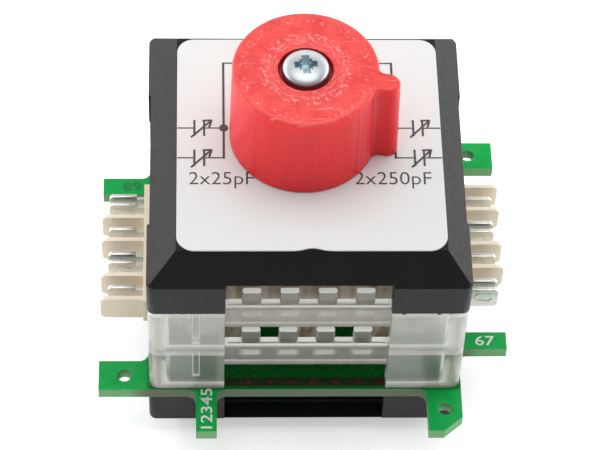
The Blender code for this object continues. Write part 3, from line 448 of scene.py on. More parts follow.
def red_print():
    """Red printed plastic: layered sides; rings and infill lines on top, with paler marks where they meet."""
    paint = Paint("red_print", (0.74, 0.02, 0.025), 0.4, Subsurface_Weight=0.15, Subsurface_Scale=0.5 * MM,
                  Specular_IOR_Level=0.4)
    mix, most, minus, times = paint.mix, paint.most, paint.minus, paint.times
    noise, spread, ramp = paint.noise, paint.spread, paint.ramp
    _, _, z = paint.axes()
    across, along, radius = paint.around_knob()
    around = times(paint.calculate('ARCTAN2', along, across), KNOB_RADIUS)
    on_top = ramp(z, KNOB_HIGH.z, -0.24, -0.12)
    off_top = minus(1.0, on_top)

    def grain(size, detail, *squeeze):
        """Noise laid around the axis, outwards and upwards, each squeezed by a factor."""
        parts = [times(value, factor) for value, factor in zip((around, radius, z), squeeze)]
        place = paint.add("ShaderNodeCombineXYZ", dict(enumerate(parts))).outputs[0]
        return noise(size, detail, place=place)

    def ring(middle, half_width):
        """1 on a ring around the axis, falling to 0 at its borders."""
        away = paint.absolute(minus(radius, middle))
        return spread(away, half_width * 0.55, half_width, 1.0, 0.0)

    rings = paint.sine(times(radius, 2 * pi / PRINT_LINE))
    infill = paint.sine(times(paint.plus(across, along), 2 * pi / (PRINT_LINE * sqrt(2))))
    near_recess = ramp(radius, 0.0, 3.0, 3.2, 1.0, 0.0)
    near_edge = ramp(radius, 0.0, 5.1, 5.25)
    lines = paint.choose(most(near_recess, near_edge), infill, rings)

    ticks = grain(0.34, 4.0, 0.62, 1.0, 0.0)
    arcs = grain(0.5, 2.0, 0.35, 2.2, 0.0)
    crumbs = noise(0.3, 3.0)
    scratches = noise(0.55, 3.0, stretch=(0.22, 1.7, 1.0))
    inner_seam = times(ring(3.25 * MM, 0.5 * MM), spread(ticks, 0.5, 0.62))
    outer_seam = times(ring(4.95 * MM, 0.4 * MM), spread(crumbs, 0.58, 0.68, 0.0, 0.8))
    rim_lines = times(near_recess, spread(arcs, 0.5, 0.62, 0.0, 0.45))
    streaks = spread(scratches, 0.64, 0.72, 0.0, 0.7)
    marks = times(on_top, most(most(inner_seam, outer_seam), most(rim_lines, streaks)))

    layers = grain(0.17, 1.0, 0.12, 0.0, 1.0)
    uprights = grain(0.34, 2.0, 1.0, 0.0, 0.03)
    # The side towards the pointer: painted shade, and paler upright streaks there as painted sheen on its
    # ridges
    shade_and_sheen_side = times(ramp(across, 0.0, 2.4, 4.4), ramp(across, 0.0, 5.7, 6.1, 1.0, 0.0))
    # Painted highlight: a brighter red band just below the rim
    rim_highlight_distance = paint.absolute(minus(z, KNOB_HIGH.z - 0.5 * MM))
    # Side: upright streaks and layer lines; painted shade and painted sheen towards the pointer; deeper red
    # at the pointer's tip; a painted highlight band below the rim
    side = paint.coats(
        mix(spread(uprights, 0.3, 0.7), (0.72, 0.007, 0.013), (0.79, 0.012, 0.018)),
        (spread(layers, 0.4, 0.75, 0.0, 0.2), (0.90, 0.05, 0.055)),
        (times(shade_and_sheen_side, 0.6), (0.60, 0.004, 0.010)),
        (times(shade_and_sheen_side, spread(uprights, 0.48, 0.66, 0.0, 0.30)), (0.88, 0.13, 0.14)),
        (ramp(across, 0.0, 6.0, 6.4, 0.0, 0.9), (0.72, 0.002, 0.006)),
        (ramp(rim_highlight_distance, 0.0, 0.1, 0.42, 0.75, 0.0), (0.86, 0.004, 0.007)))
    cloud = noise(1.2, 3.0)
    top = mix(spread(cloud, 0.3, 0.7), (0.72, 0.040, 0.040), (0.84, 0.080, 0.070))
    # Painted shade: darker inside the recess
    recess_shade = ramp(radius, RECESS_RADIUS, 0.01, 0.06, 1.0, 0.0)
    body = mix(recess_shade, mix(on_top, side, top), (0.42, 0.008, 0.022))
    paint.set("Base Color", mix(times(marks, 0.6), body, (0.93, 0.36, 0.34)))
    paint.gloss(noise(0.3, 3.0), 0.3, 0.46)
    layered = paint.bump(times(layers, off_top), 0.045, 0.4)
    ribbed = paint.bump(times(uprights, off_top), 0.022, 0.25, layered)
    relief = paint.bump(times(lines, on_top), 0.012, 0.6, ribbed)
    paint.relief(marks, 0.05, 0.6, relief)
    return paint.material


BLACK = black_plastic()
LABEL = mottled("label_film", 4, (0.685, 0.725, 0.715), (0.71, 0.76, 0.752), 0.38,
                relief=(0.25, 3.0, 0.006, 0.35)).material
INK = mottled("printed_ink", 0.14, (0.022, 0.021, 0.021), (0.11, 0.105, 0.10), 0.5,
              contrast=(0.4, 0.75)).material
CLEAR = clear_plastic("clear_plastic", "lower_spacer_frame", 0.92, 0.5 * MM, 1.0, (0.51, 0.525, 0.445), 0.68)
HAZY = clear_plastic("hazy_clear_plastic", "upper_spacer_frame", 0.78, 0.16 * MM, 0.5,
                     (0.65, 0.66, 0.605), 0.3)
FROST = mottled("frosted_edge", 0.3, (0.70, 0.71, 0.66), (0.88, 0.88, 0.84), 0.5,
                Transmission_Weight=0.45, IOR=1.49).material
MASK = solder_mask()
EDGE = board_edge()
COPPER = mottled("bare_copper", 0.2, (0.07, 0.012, 0.006), (0.24, 0.045, 0.022), 0.45, Metallic=0.5).material
STRIP = dark_strip()
SILK = mottled("silkscreen", 0.12, (0.55, 0.64, 0.56), (0.82, 0.84, 0.81), 0.6).material
MASKED_PRINT = mottled("masked_print", 0.2, (0.004, 0.09, 0.025), (0.01, 0.15, 0.05), 0.4).material
BEIGE = mottled("beige_plastic", 1.5, (0.86, 0.75, 0.58), (0.93, 0.84, 0.69), 0.5, 3.0,
                relief=(0.12, 2.0, 0.008, 0.4), Subsurface_Weight=0.15, Subsurface_Scale=0.4 * MM).material
TIN = streaked_metal("tinned_metal", (0.54, 0.54, 0.50), (0.74, 0.74, 0.71), 0.32, 0.12, 3.0,
                     (0.12, 1.0, 1.0), 0.6, (0.24, 0.42), (0.006, 0.5))
# Solder lugs, browned partly by flux and partly by painted shade, as they stand in the shade inside the
# module
STAINED_AND_SHADED = mottled("stained_shaded_tin", 0.5, (0.25, 0.17, 0.10), (0.62, 0.55, 0.43), 0.5, 3.0,
                  contrast=(0.35, 0.65), stretch=(1.0, 1.0, 0.3), Metallic=0.5).material
BRASS = turned_metal("brass", (0.62, 0.42, 0.18), (0.82, 0.62, 0.32), 0.32)
ALUMINIUM = turned_metal("aluminium", (0.66, 0.67, 0.68), (0.82, 0.83, 0.84), 0.34)
ZINC = bright_zinc()
# Translucent case: pale, with painted shade in brownish upright streaks where the plates behind it show
# through
MILKY = mottled("milky_plastic", 1.1, (0.62, 0.55, 0.46), (0.24, 0.17, 0.12), 0.45, contrast=(0.38, 0.66),
                stretch=(1.0, 1.0, 0.08), relief=(0.5, 3.0, 0.02, 0.4),
                Subsurface_Weight=0.1, Subsurface_Scale=0.5 * MM).material
FILM = mottled("clear_film", 1.5, (0.72, 0.68, 0.58), (0.85, 0.82, 0.75), 0.2, Alpha=0.45).material
RED = red_print()


# Meshes

def placed(name, data):
    piece = bpy.data.objects.new(name, data)
    bpy.context.scene.collection.objects.link(piece)
    return piece


def link(name, mesh, *materials):
    mesh.name = name
    mesh.materials.clear()
    return painted(placed(name, mesh), *materials)


def painted(piece, *materials):
    for material in materials:
        piece.data.materials.append(material)
    return piece


def from_bmesh(name, shape, *materials):
    bmesh.ops.recalc_face_normals(shape, faces=shape.faces)
    mesh = bpy.data.meshes.new(name)
    shape.to_mesh(mesh)
    shape.free()
    return link(name, mesh, *materials)


@contextmanager
def edited(mesh):
    shape = bmesh.new()
    shape.from_mesh(mesh)
    yield shape
    shape.to_mesh(mesh)
    shape.free()


def settled(piece):
    """The same piece as a plain mesh, with its modifiers or curve worked in and its corners welded."""
    bpy.context.view_layer.update()
    mesh = bpy.data.meshes.new_from_object(piece.evaluated_get(bpy.context.evaluated_depsgraph_get()))
    with edited(mesh) as shape:
        bmesh.ops.remove_doubles(shape, verts=shape.verts, dist=1e-7)
        bmesh.ops.transform(shape, matrix=piece.matrix_world, verts=shape.verts)
        bmesh.ops.recalc_face_normals(shape, faces=shape.faces)
    name = piece.name
    bpy.data.objects.remove(piece, do_unlink=True)
    return link(name, mesh)


def settled_curve(name, curve, level=0.0):
    guide = placed(name, curve)
    guide.location.z = level
    return settled(guide)


def modified(piece, name, kind, **settings):
    made = piece.modifiers.new(name, kind)
    for setting, value in settings.items():
        setattr(made, setting, value)
    return piece


def combine(piece, other, operation):
    modified(piece, operation.lower(), 'BOOLEAN', operation=operation, solver='EXACT', object=other)
    result = settled(piece)
    bpy.data.objects.remove(other, do_unlink=True)
    return result


def cut(piece, other):
    return combine(piece, other, 'DIFFERENCE')


def fused(piece, other):
    return combine(piece, other, 'UNION')


def joined(name, pieces, *materials):
    """Several meshes as one piece of separate bodies."""
    mesh = bpy.data.meshes.new(name)
    with edited(mesh) as shape:
        for piece in pieces:
            shape.from_mesh(piece.data)
            bpy.data.objects.remove(piece, do_unlink=True)
    return link(name, mesh, *materials)


def merged_flats(piece):
    """Join the triangles of each flat face and split only the many-sided ones, so that edges round evenly."""
    with edited(piece.data) as shape:
        bmesh.ops.dissolve_limit(shape, angle_limit=radians(0.5), verts=shape.verts, edges=shape.edges,
                                 use_dissolve_boundaries=False)
        bmesh.ops.triangulate(shape, faces=[face for face in shape.faces if len(face.verts) > 4])


def softened(piece, width, segments=2):
    """Rounded edges and smooth shading."""
    merged_flats(piece)
    piece.data.shade_smooth()
    modified(piece, "rounding", 'BEVEL', width=width, segments=segments, limit_method='ANGLE',
             angle_limit=radians(28.0), use_clamp_overlap=True, harden_normals=False)
    return modified(piece, "flat_faces", 'WEIGHTED_NORMAL', keep_sharp=True, weight=100)


def smooth_within(piece, degrees):
    """Smooth shading that stops at sharper edges."""
    piece.data.shade_smooth()
    piece.data.set_sharp_from_angle(angle=radians(degrees))
    return piece


def moved(piece, matrix):
    piece.data.transform(matrix)
    return piece


def rounded(piece, radius):
    """Round every edge of simple blocks before they are joined to something."""
    with edited(piece.data) as shape:
        bmesh.ops.bevel(shape, geom=shape.edges[:], offset=radius, segments=4, profile=0.5, affect='EDGES')
    return piece


def block(name, *corner_pairs):
    shape = bmesh.new()
    for low, high in corner_pairs:
        low, high = Vector(low), Vector(high)
        place = Matrix.Translation((low + high) / 2) @ Matrix.Diagonal((*(high - low), 1.0))
        bmesh.ops.create_cube(shape, size=1.0, matrix=place)
    return from_bmesh(name, shape)


def four_blocks(name, *corner_pairs):
    """Blocks repeated on the four sides of the module."""
    turned = []
    for quarters in range(4):
        spin = Matrix.Rotation(quarters * pi / 2, 3, 'Z')
        for low, high in corner_pairs:
            a, b = spin @ Vector(low), spin @ Vector(high)
            turned.append(([min(p, q) for p, q in zip(a, b)], [max(p, q) for p, q in zip(a, b)]))
    return block(name, *turned)


def cylinder(name, centre, radius, low, high):
    shape = bmesh.new()
    place = Matrix.Translation((centre[0], centre[1], (low + high) / 2))
    bmesh.ops.create_cone(shape, cap_ends=True, segments=64, radius1=radius, radius2=radius, depth=high - low,
                          matrix=place)
    return from_bmesh(name, shape)


def drawn(name, outlines, level=0.0, **settings):
    """Closed lines, given a body by the curve's settings."""
    curve = bpy.data.curves.new(name, 'CURVE')
    for setting, value in settings.items():
        setattr(curve, setting, value)
    for outline in outlines:
        spline = curve.splines.new('POLY')
        spline.points.add(len(outline) - 1)
        for point, place in zip(spline.points, outline):
            point.co = (*place, 1.0)
        spline.use_cyclic_u = True
    return settled_curve(name, curve, level)


def prism(name, outlines, low, high):
    """Outlines in the XY plane given a thickness; an outline inside another is a hole."""
    flat = [[(x, y, 0.0) for x, y in outline] for outline in outlines]
    return drawn(name, flat, (low + high) / 2, dimensions='2D', fill_mode='BOTH', extrude=(high - low) / 2)


def lathe(name, profile, segments):
    """A profile of (radius, height) points, top to bottom, spun around the knob's axis."""
    mesh = bpy.data.meshes.new(name)
    edges = [(i, i + 1) for i in range(len(profile) - 1)]
    mesh.from_pydata([(radius, 0.0, height) for radius, height in profile], edges, [])
    piece = link(name, mesh)
    piece.location = AXIS
    return settled(modified(piece, "spin", 'SCREW', steps=segments, render_steps=segments,
                            use_merge_vertices=True, merge_threshold=1e-7, use_normal_calculate=True))


def arc(centre, radius, start, end, steps):
    return [(centre[0] + radius * cos(start + (end - start) * i / steps),
             centre[1] + radius * sin(start + (end - start) * i / steps)) for i in range(steps + 1)]


def circle(centre, radius, segments=48):
    return arc(centre, radius, 0.0, 2 * pi, segments)[:-1]


def rounded_rectangle(low, high, radius, steps=8):
    corners = ((high[0] - radius, high[1] - radius, 0.0), (low[0] + radius, high[1] - radius, 0.5),
               (low[0] + radius, low[1] + radius, 1.0), (high[0] - radius, low[1] + radius, 1.5))
    points = []
    for x, y, turn in corners:
        points += arc((x, y), radius, turn * pi, (turn + 0.5) * pi, steps)
    return points


def stands_for(piece, node, body="housing"):
    """The piece is shown instead of a CAD node and moves with its body."""
    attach(piece, body)
    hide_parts(node)


def extra(piece, body="housing"):
    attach(piece, body)


# Covers

def hipped_block(name, half, rim, eave, flat, flat_half, flat_left, radius):
    """A square block with four slopes up to a smaller flat top and rounded upright corners."""
    shape = bmesh.new()
    middle = (rim + eave) / 2
    place = Matrix.Translation((0, 0, middle)) @ Matrix.Diagonal((2 * half, 2 * half, eave - rim, 1.0))
    bmesh.ops.create_cube(shape, size=1.0, matrix=place)
    top = max(shape.faces, key=lambda face: face.calc_center_median().z)
    raised = bmesh.ops.extrude_face_region(shape, geom=[top])
    bmesh.ops.delete(shape, geom=[top], context='FACES_ONLY')
    for item in raised['geom']:
        if isinstance(item, bmesh.types.BMVert):
            item.co = Vector((flat_half if item.co.x > 0 else -flat_left, item.co.y * flat_half / half, flat))
    corners = [edge for edge in shape.edges
               if min(v.co.z for v in edge.verts) < middle < max(v.co.z for v in edge.verts)]
    bmesh.ops.bevel(shape, geom=corners, offset=radius, segments=8, profile=0.5, affect='EDGES')
    return from_bmesh(name, shape)


def make_cover(name, node, wall_height, turned_over):
    """A cover shell with a notch in each wall; it is made upright and turned over where it is the base."""
    low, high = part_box(node)
    height = high.z - low.z
    flat_left = FLAT_HALF if turned_over else FLAT_LEFT
    cover = hipped_block(name, HALF_BODY, 0.0, wall_height, height, FLAT_HALF, flat_left, UPRIGHT_RADIUS)
    slope = (HALF_BODY - FLAT_HALF) / (height - wall_height)
    inner_half = HALF_BODY - COVER_WALL
    ceiling = height - CEILING
    inner_eave = wall_height - EAVE_DROP
    inner_flat = inner_half - (ceiling - inner_eave) * slope
    cover = cut(cover, hipped_block("hollow", inner_half, -OVERCUT, inner_eave, ceiling, inner_flat,
                                    inner_flat, UPRIGHT_RADIUS / 2))
    notch = ((-NOTCH_HALF, -HALF_BODY - OVERCUT, -OVERCUT),
             (NOTCH_HALF, -HALF_BODY + NOTCH_DEPTH, wall_height + NOTCH_INTO_SLOPE))
    cover = cut(cover, four_blocks("notches", notch))
    if turned_over:
        moved(cover, Matrix.Translation((0, 0, high.z)) @ Matrix.Rotation(pi, 4, 'X'))
    else:
        moved(cover, Matrix.Translation((0, 0, low.z)))
        hole = cylinder("shaft_hole", AXIS, BUSHING_CLEARANCE, COVER_LOW.z, COVER_HIGH.z + OVERCUT)
        cover = cut(cover, hole)
    stands_for(softened(painted(cover, BLACK), 0.12 * MM, 3), node)


def upright(depth, level):
    """Stands a shape drawn in XY on its edge, so that its Y becomes height and its thickness runs along Y."""
    return Matrix.Translation((0, depth, level)) @ Matrix.Rotation(pi / 2, 4, 'X')


def make_flash_nibs():
    """Thin moulding flash on the lower edge of the top cover."""
    nibs = []
    for x, width, drop in ((7.55, 0.5, 0.16), (10.35, 0.45, 0.2), (11.3, 0.3, 0.1), (-9.9, 0.3, 0.08)):
        outline = [(x * MM - width * MM / 2, 0.15 * MM), (x * MM - width * MM / 5, -drop * MM),
                   (x * MM + width * MM / 4, -drop * MM * 0.8), (x * MM + width * MM / 2, 0.15 * MM)]
        nib = prism("nib", [outline], 0.0, 0.04 * MM)
        nibs.append(moved(nib, upright(-HALF_BODY + 0.045 * MM, COVER_LOW.z)))
    extra(joined("cover_flash", nibs, BLACK))


# Label

def make_label():
    """The sheet, with one shallow dent in its front edge, which bends down over the cover's edge."""
    radius = LABEL_CORNER
    left, right = LABEL_LOW.x, LABEL_HIGH.x
    outline = rounded_rectangle((left, LABEL_FRONT), (right, LABEL_HIGH.y - LABEL_BACK_GAP), radius, 10)
    steps = 60
    front = []
    for i in range(1, steps):
        x = left + radius + (right - left - 2 * radius) * i / steps
        front.append((x, LABEL_FRONT + DENT_DEPTH * exp(-((x - DENT_PLACE) / DENT_WIDTH) ** 2)))
    outline[33:33] = front      # after the first three corners of 11 points
    label = prism("label_sheet", [outline, circle(AXIS, BUSHING_CLEARANCE)], LABEL_LOW.z, LABEL_TOP)
    with edited(label.data) as shape:
        for i in range(8):
            geometry = shape.verts[:] + shape.edges[:] + shape.faces[:]
            bmesh.ops.bisect_plane(shape, geom=geometry, plane_co=(0, LABEL_BEND - i * 0.06 * MM, 0),
                                   plane_no=(0, 1, 0))
        for vertex in shape.verts:
            past = LABEL_BEND - vertex.co.y
            if past > 0.0:
                vertex.co.z -= 0.55 * past * past / (past + 0.12 * MM)
    stands_for(smooth_within(painted(label, LABEL), 40), "cover_label")


def line(start, end, width):
    """A printed line between two points, in millimetres on the label."""
    a, b = Vector(start) * MM, Vector(end) * MM
    along = (b - a).normalized()
    side = Vector((-along.y, along.x)) * width * MM / 2
    return [tuple(a - side), tuple(b - side), tuple(b + side), tuple(a + side)]


def make_label_print():
    """A variable capacitor symbol on each of four lines, two buses and the lines that join them."""
    left_bus, right_bus, top_line = -6.69, 7.02, 8.02
    upper, lower = 1.26, -1.76
    thin, medium, thick = 0.11, 0.17, 0.18
    plate = 0.82
    shapes = []
    for y in (upper, lower):
        for first, second, start, end in ((-9.03, -8.25, -10.4, left_bus), (8.54, 9.29, right_bus, 10.73)):
            shapes.append(line((start, y), (first, y), thin))
            shapes.append(line((second, y), (end, y), thin))
            for x in (first, second):
                shapes.append(line((x, y - plate), (x, y + plate), medium))
            tail, tip = Vector((first - 0.27, y - 0.95)), Vector((second + 0.6, y + 0.8))
            shapes.append(line(tail, tip, medium))
            for barb in ((-0.74, -0.04), (-0.2, -0.72)):
                shapes.append(line(tip + Vector(barb), tip, medium))
    for bus in (left_bus, right_bus):
        shapes.append(line((bus, lower - thick / 2), (bus, top_line), thick))
        shapes.append(circle((bus * MM, upper * MM), 0.36 * MM, 28))
    shapes.append(line((left_bus - thick / 2, top_line), (right_bus + thick / 2, top_line), thin))
    printed = []
    for number, outline in enumerate(shapes):
        low = LABEL_TOP + (0.001 + 0.0004 * number) * MM
        printed.append(prism("mark", [outline], low, low + INK_THICKNESS))
    for words, left, right in (("2x25pF", -9.45, -4.32), ("2x250pF", 3.67, 9.77)):
        printed.append(lettering(words, (left * MM, -4.42 * MM), (right - left) * MM, 1.24 * MM,
                                 LABEL_TOP + INK_LIFT, -0.006))
    extra(joined("label_print", printed, INK))


def lettering(words, corner, width, height, level, weight, turn=0.0):
    """Plain sans lettering of a given width and capital height, standing on a baseline from its corner."""
    text = bpy.data.curves.new("text", 'FONT')
    text.body = words
    text.extrude = INK_THICKNESS / 2
    text.offset = weight
    text.resolution_u = 4
    piece = settled_curve("text", text)
    points = [v.co for v in piece.data.vertices]
    low = min(p.x for p in points)
    high = max(p.x for p in points)
    capital = max(p.y for p in points)
    return moved(piece, Matrix.Translation((*corner, level)) @ Matrix.Rotation(turn, 4, 'Z')
                 @ Matrix.Diagonal((width / (high - low), height / capital, 1.0, 1.0))
                 @ Matrix.Translation((-low, 0.0, 0.0)))


# Clear spacer frames

def make_spacer_frame(name, node, material):
    low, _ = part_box(node)
    half = -low.x
    base, top = low.z, low.z + FRAME_HEIGHT
    inner = half - FRAME_WALL
    outer_corners = rounded_rectangle((-half, -half), (half, half), 0.8 * MM)
    inner_corners = rounded_rectangle((-inner, -inner), (inner, inner), 0.4 * MM, 4)
    ring = prism(name, [outer_corners, inner_corners], base, top)
    outside, window_top = -half - OVERCUT, base + RAIL_BOTTOM
    ring = cut(ring, four_blocks("window", ((-WINDOW_HALF, outside, base - OVERCUT),
                                            (WINDOW_HALF, -inner + OVERCUT, window_top))))
    ring = cut(ring, four_blocks("setback", ((-WINDOW_HALF, outside, window_top - 0.5 * MM),
                                             (WINDOW_HALF, -(half - RAIL_SETBACK), top + OVERCUT))))
    front, back = -inner - LEDGE_DEPTH, -inner - 0.02 * MM
    ledge = ((-LEDGE_HALF, front, window_top + 1.0 * MM), (LEDGE_HALF, back, base + LEDGE_TOP))
    ring = fused(ring, rounded(four_blocks("ledge", ledge), LEDGE_ROUNDING))
    teeth = [((PITCH * place - TOOTH_WIDTH / 2, front, base + TOOTH_FOOT),
              (PITCH * place + TOOTH_WIDTH / 2, back, base + TOOTH_TOP)) for place in (-1.5, -0.5, 0.5, 1.5)]
    ring = fused(ring, rounded(four_blocks("teeth", *teeth), TOOTH_ROUNDING))
    rib = ((RIB_CENTRE - RIB_WIDTH / 2, -inner - 0.3 * MM, top - RIB_LENGTH - RIB_EXTRA),
           (RIB_CENTRE + RIB_WIDTH / 2, -inner + RIB_DEPTH, top - 0.1 * MM))
    ring = fused(ring, four_blocks("ribs", rib))

    proud, sunk, foot = -half - 0.015 * MM, -half + 0.05 * MM, top - RIB_LENGTH
    edges = []
    for side in (-1, 1):
        middle = RIB_CENTRE + side * RIB_WIDTH * 0.4
        edges.append(((middle - RIB_EDGE, proud, foot), (middle + RIB_EDGE, sunk, top - 0.12 * MM)))
    edges.append(((RIB_CENTRE - RIB_WIDTH * 0.4, proud, foot - 0.08 * MM),
                  (RIB_CENTRE + RIB_WIDTH * 0.4, sunk, foot + 0.05 * MM)))
    extra(painted(four_blocks(name + "_rib_edges", *edges), FROST))
    stands_for(softened(painted(ring, material), 0.06 * MM), node)


# Circuit board

def quarter_turned(point, quarters):
    x, y = point
    for _ in range(quarters):
        x, y = -y, x
    return (x, y)


def board_side(chamfered):
    """The board's outline along the front, left to right: narrow tab, then the tab with a hole."""
    left, right = NARROW_TAB
    below = -BOARD_HALF - TAB_FILLET
    hole_tab = BOARD_HALF - HOLE_TAB_WIDTH
    points = arc((left - TAB_FILLET, below), TAB_FILLET, pi / 2, 0.0, 8)
    points += [(left, -BOARD_REACH), (right, -BOARD_REACH)]
    points += arc((right + TAB_FILLET, below), TAB_FILLET, pi, pi / 2, 8)
    points += arc((hole_tab - TAB_FILLET, below), TAB_FILLET, pi / 2, 0.0, 8)
    points += [(hole_tab, -BOARD_REACH)]
    if chamfered:
        return points + [(BOARD_HALF - TAB_CHAMFER, -BOARD_REACH),
                         (BOARD_HALF, -BOARD_REACH + TAB_CHAMFER * CHAMFER_RISE)]
    return points + [(BOARD_HALF, -BOARD_REACH)]


def make_board():
    outline = []
    for quarters in range(4):
        outline += [quarter_turned(point, quarters) for point in board_side(quarters == 0)]
    outlines = [outline]
    outlines += [circle(quarter_turned(TAB_HOLE, quarters), TAB_HOLE_RADIUS, 32) for quarters in range(4)]
    gap = LUG_CLEARANCE
    for side in ("front", "back"):
        for number in (1, 2, 3):
            low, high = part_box("terminal_%s_%d" % (side, number))
            corners = (low.x - gap, low.y - gap), (high.x + gap, high.y + gap)
            outlines.append(rounded_rectangle(*corners, gap, 4))
    board = painted(prism("board_laminate", outlines, BOARD_LOW.z, BOARD_TOP), MASK, EDGE)
    for face in board.data.polygons:
        face.material_index = 0 if abs(face.normal.z) > 0.5 else 1
    stands_for(softened(board, 0.05 * MM), "circuit_board")


def make_board_print():
    """Pin numbers on the tabs, and the row of plated holes behind the front edge."""
    pins = [lettering(words, (x * MM, y * MM), width * MM, 0.92 * MM, BOARD_TOP + INK_LIFT, weight, turn)
            for words, x, y, width, weight, turn in (
                ("12345", -7.61, -16.62, 3.85, 0.008, pi / 2), ("67", 14.3, -8.52, 1.6, 0.008, 0.0),
                ("01", 7.61, 16.4, 1.6, 0.008, -pi / 2), ("89", -15.2, 7.6, 1.55, 0.002, 0.0))]
    extra(joined("pin_numbers", pins[:3], SILK))
    extra(joined("pin_numbers_under_mask", pins[3:], MASKED_PRINT))
    outline = rounded_rectangle((-6.45 * MM, -12.55 * MM), (6.55 * MM, -11.72 * MM), 0.1 * MM)
    strip = prism("hole_strip", [outline], BOARD_TOP + 0.002 * MM, BOARD_TOP + 0.012 * MM)
    extra(painted(strip, STRIP))
    rings = []
    for i in range(7):
        place = ((-4.65 + 1.805 * i) * MM, -12.12 * MM)
        rings.append(prism("ring", [circle(place, 0.25 * MM, 24), circle(place, 0.11 * MM, 24)],
                           BOARD_TOP + 0.010 * MM, BOARD_TOP + 0.035 * MM))
    extra(joined("plated_holes", rings, COPPER))


# Connectors; the right one is turned half round

def nosed_end(reach, low, high, nose):
    """The rounded outer end of a finger or contact, from its lower edge to its upper one."""
    return (arc((-reach + nose, low + nose), nose, 1.5 * pi, pi, 8)
            + arc((-reach + nose, high - nose), nose, pi, pi / 2, 8))


def finger(y):
    root = -BODY_FACE + FINGER_ROOT
    half = FINGER_THICKNESS / 2
    outline = nosed_end(FINGER_REACH, FINGER_LOW, FINGER_HIGH, 0.45 * MM)
    outline += [(root, FINGER_HIGH), (root, FINGER_LOW)]
    return moved(prism("finger", [outline], -half, half), upright(y, BOARD_TOP))


def contact_strip(name, y):
    tail = -CONTACT_TAIL - TAIL_WIDTH
    outline = nosed_end(CONTACT_REACH, CONTACT_LOW, CONTACT_HIGH, 0.42 * MM)
    outline += [(-NECK_START, CONTACT_HIGH), (-NECK_START, NECK_HIGH), (-CONTACT_TAIL, NECK_HIGH),
                (-CONTACT_TAIL, CONTACT_FOOT), (tail, CONTACT_FOOT), (tail, NECK_LOW),
                (-NECK_START, NECK_LOW), (-NECK_START, CONTACT_LOW)]
    return moved(prism(name, [outline], -CONTACT_THICKNESS / 2, CONTACT_THICKNESS / 2), upright(y, BOARD_TOP))


def embossed_loop(y, outward):
    """A low rounded bead pressed into the face of a fork strip."""
    outline = rounded_rectangle((-15.75 * MM, 1.25 * MM), (-14.35 * MM, 2.15 * MM), 0.4 * MM, 6)
    face = y + outward * CONTACT_THICKNESS / 2
    return drawn("bead", [[(x, face, BOARD_TOP + height) for x, height in outline]], dimensions='3D',
                 bevel_depth=BEAD_RADIUS, bevel_resolution=2)


def make_connector(side_name, turn):
    low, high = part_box(side_name + "_connector_body")
    place_side = Matrix.Translation((0, (low.y + high.y) / 2, 0)) @ Matrix.Rotation(turn, 4, 'Z')
    body = block(side_name + "_connector_housing",
                 ((-BODY_FACE, -BODY_HALF, low.z), (-BODY_BACK, BODY_HALF, BOARD_TOP + BODY_HEIGHT)))
    slots = []
    for places, half_width in ((BLADES, CONTACT_THICKNESS / 2 + SLOT_CLEARANCE),
                               (FORKS, FORK_SPREAD + CONTACT_THICKNESS / 2 + SLOT_CLEARANCE)):
        for _, place in places:
            y = place * PITCH
            slots.append(((-BODY_FACE - OVERCUT, y - half_width, BOARD_TOP + NECK_LOW - SLOT_CLEARANCE),
                          (-BODY_BACK + OVERCUT, y + half_width, BOARD_TOP + NECK_HIGH + SLOT_CLEARANCE)))
    body = cut(body, block("slots", *slots))
    for _, place in BLADES:
        for side in (-1, 1):
            body = fused(body, finger(place * PITCH + side * FINGER_OFFSET))
    body = softened(moved(painted(body, BEIGE), place_side), 0.07 * MM)
    stands_for(body, side_name + "_connector_body")

    for end, place in BLADES:
        blade = painted(contact_strip(side_name + "_contact_blade_" + end, place * PITCH), TIN)
        stands_for(softened(moved(blade, place_side), 0.05 * MM), side_name + "_blade_" + end)
    for end, place in FORKS:
        y = place * PITCH
        fork = contact_strip(side_name + "_contact_fork_" + end, y - FORK_SPREAD)
        fork = fused(fork, contact_strip("other_strip", y + FORK_SPREAD))
        bridge = ((-BRIDGE_START, y - FORK_SPREAD, BOARD_TOP + NECK_LOW + BRIDGE_INSET),
                  (-BRIDGE_END, y + FORK_SPREAD, BOARD_TOP + NECK_HIGH - BRIDGE_INSET))
        fork = painted(fused(fork, block("bridge", bridge)), TIN)
        stands_for(softened(moved(fork, place_side), 0.05 * MM), side_name + "_fork_" + end)
        beads = [embossed_loop(y + side * FORK_SPREAD, side) for side in (-1, 1)]
        beads = joined(side_name + "_fork_beads_" + end, beads, TIN)
        beads.data.shade_smooth()
        extra(moved(beads, place_side))


# Knob and its screw

def knob_outline():
    """A circle of short facets with a round-nosed pointer along +X, joined by hollow fillets."""
    lift = POINTER_HALF_WIDTH + POINTER_FILLET
    fillet_x = sqrt((KNOB_RADIUS + POINTER_FILLET) ** 2 - lift ** 2)
    meet = atan2(lift, fillet_x)
    nose = (POINTER_REACH - POINTER_HALF_WIDTH, 0.0)
    points = arc(nose, POINTER_HALF_WIDTH, -pi / 2, pi / 2, 16)
    points += arc((fillet_x, lift), POINTER_FILLET, 1.5 * pi, pi + meet, 8)
    points += arc((0, 0), KNOB_RADIUS, meet, 2 * pi - meet, 200)[1:-1]
    points += arc((fillet_x, -lift), POINTER_FILLET, pi - meet, pi / 2, 8)
    return [Vector(point) for point in points]


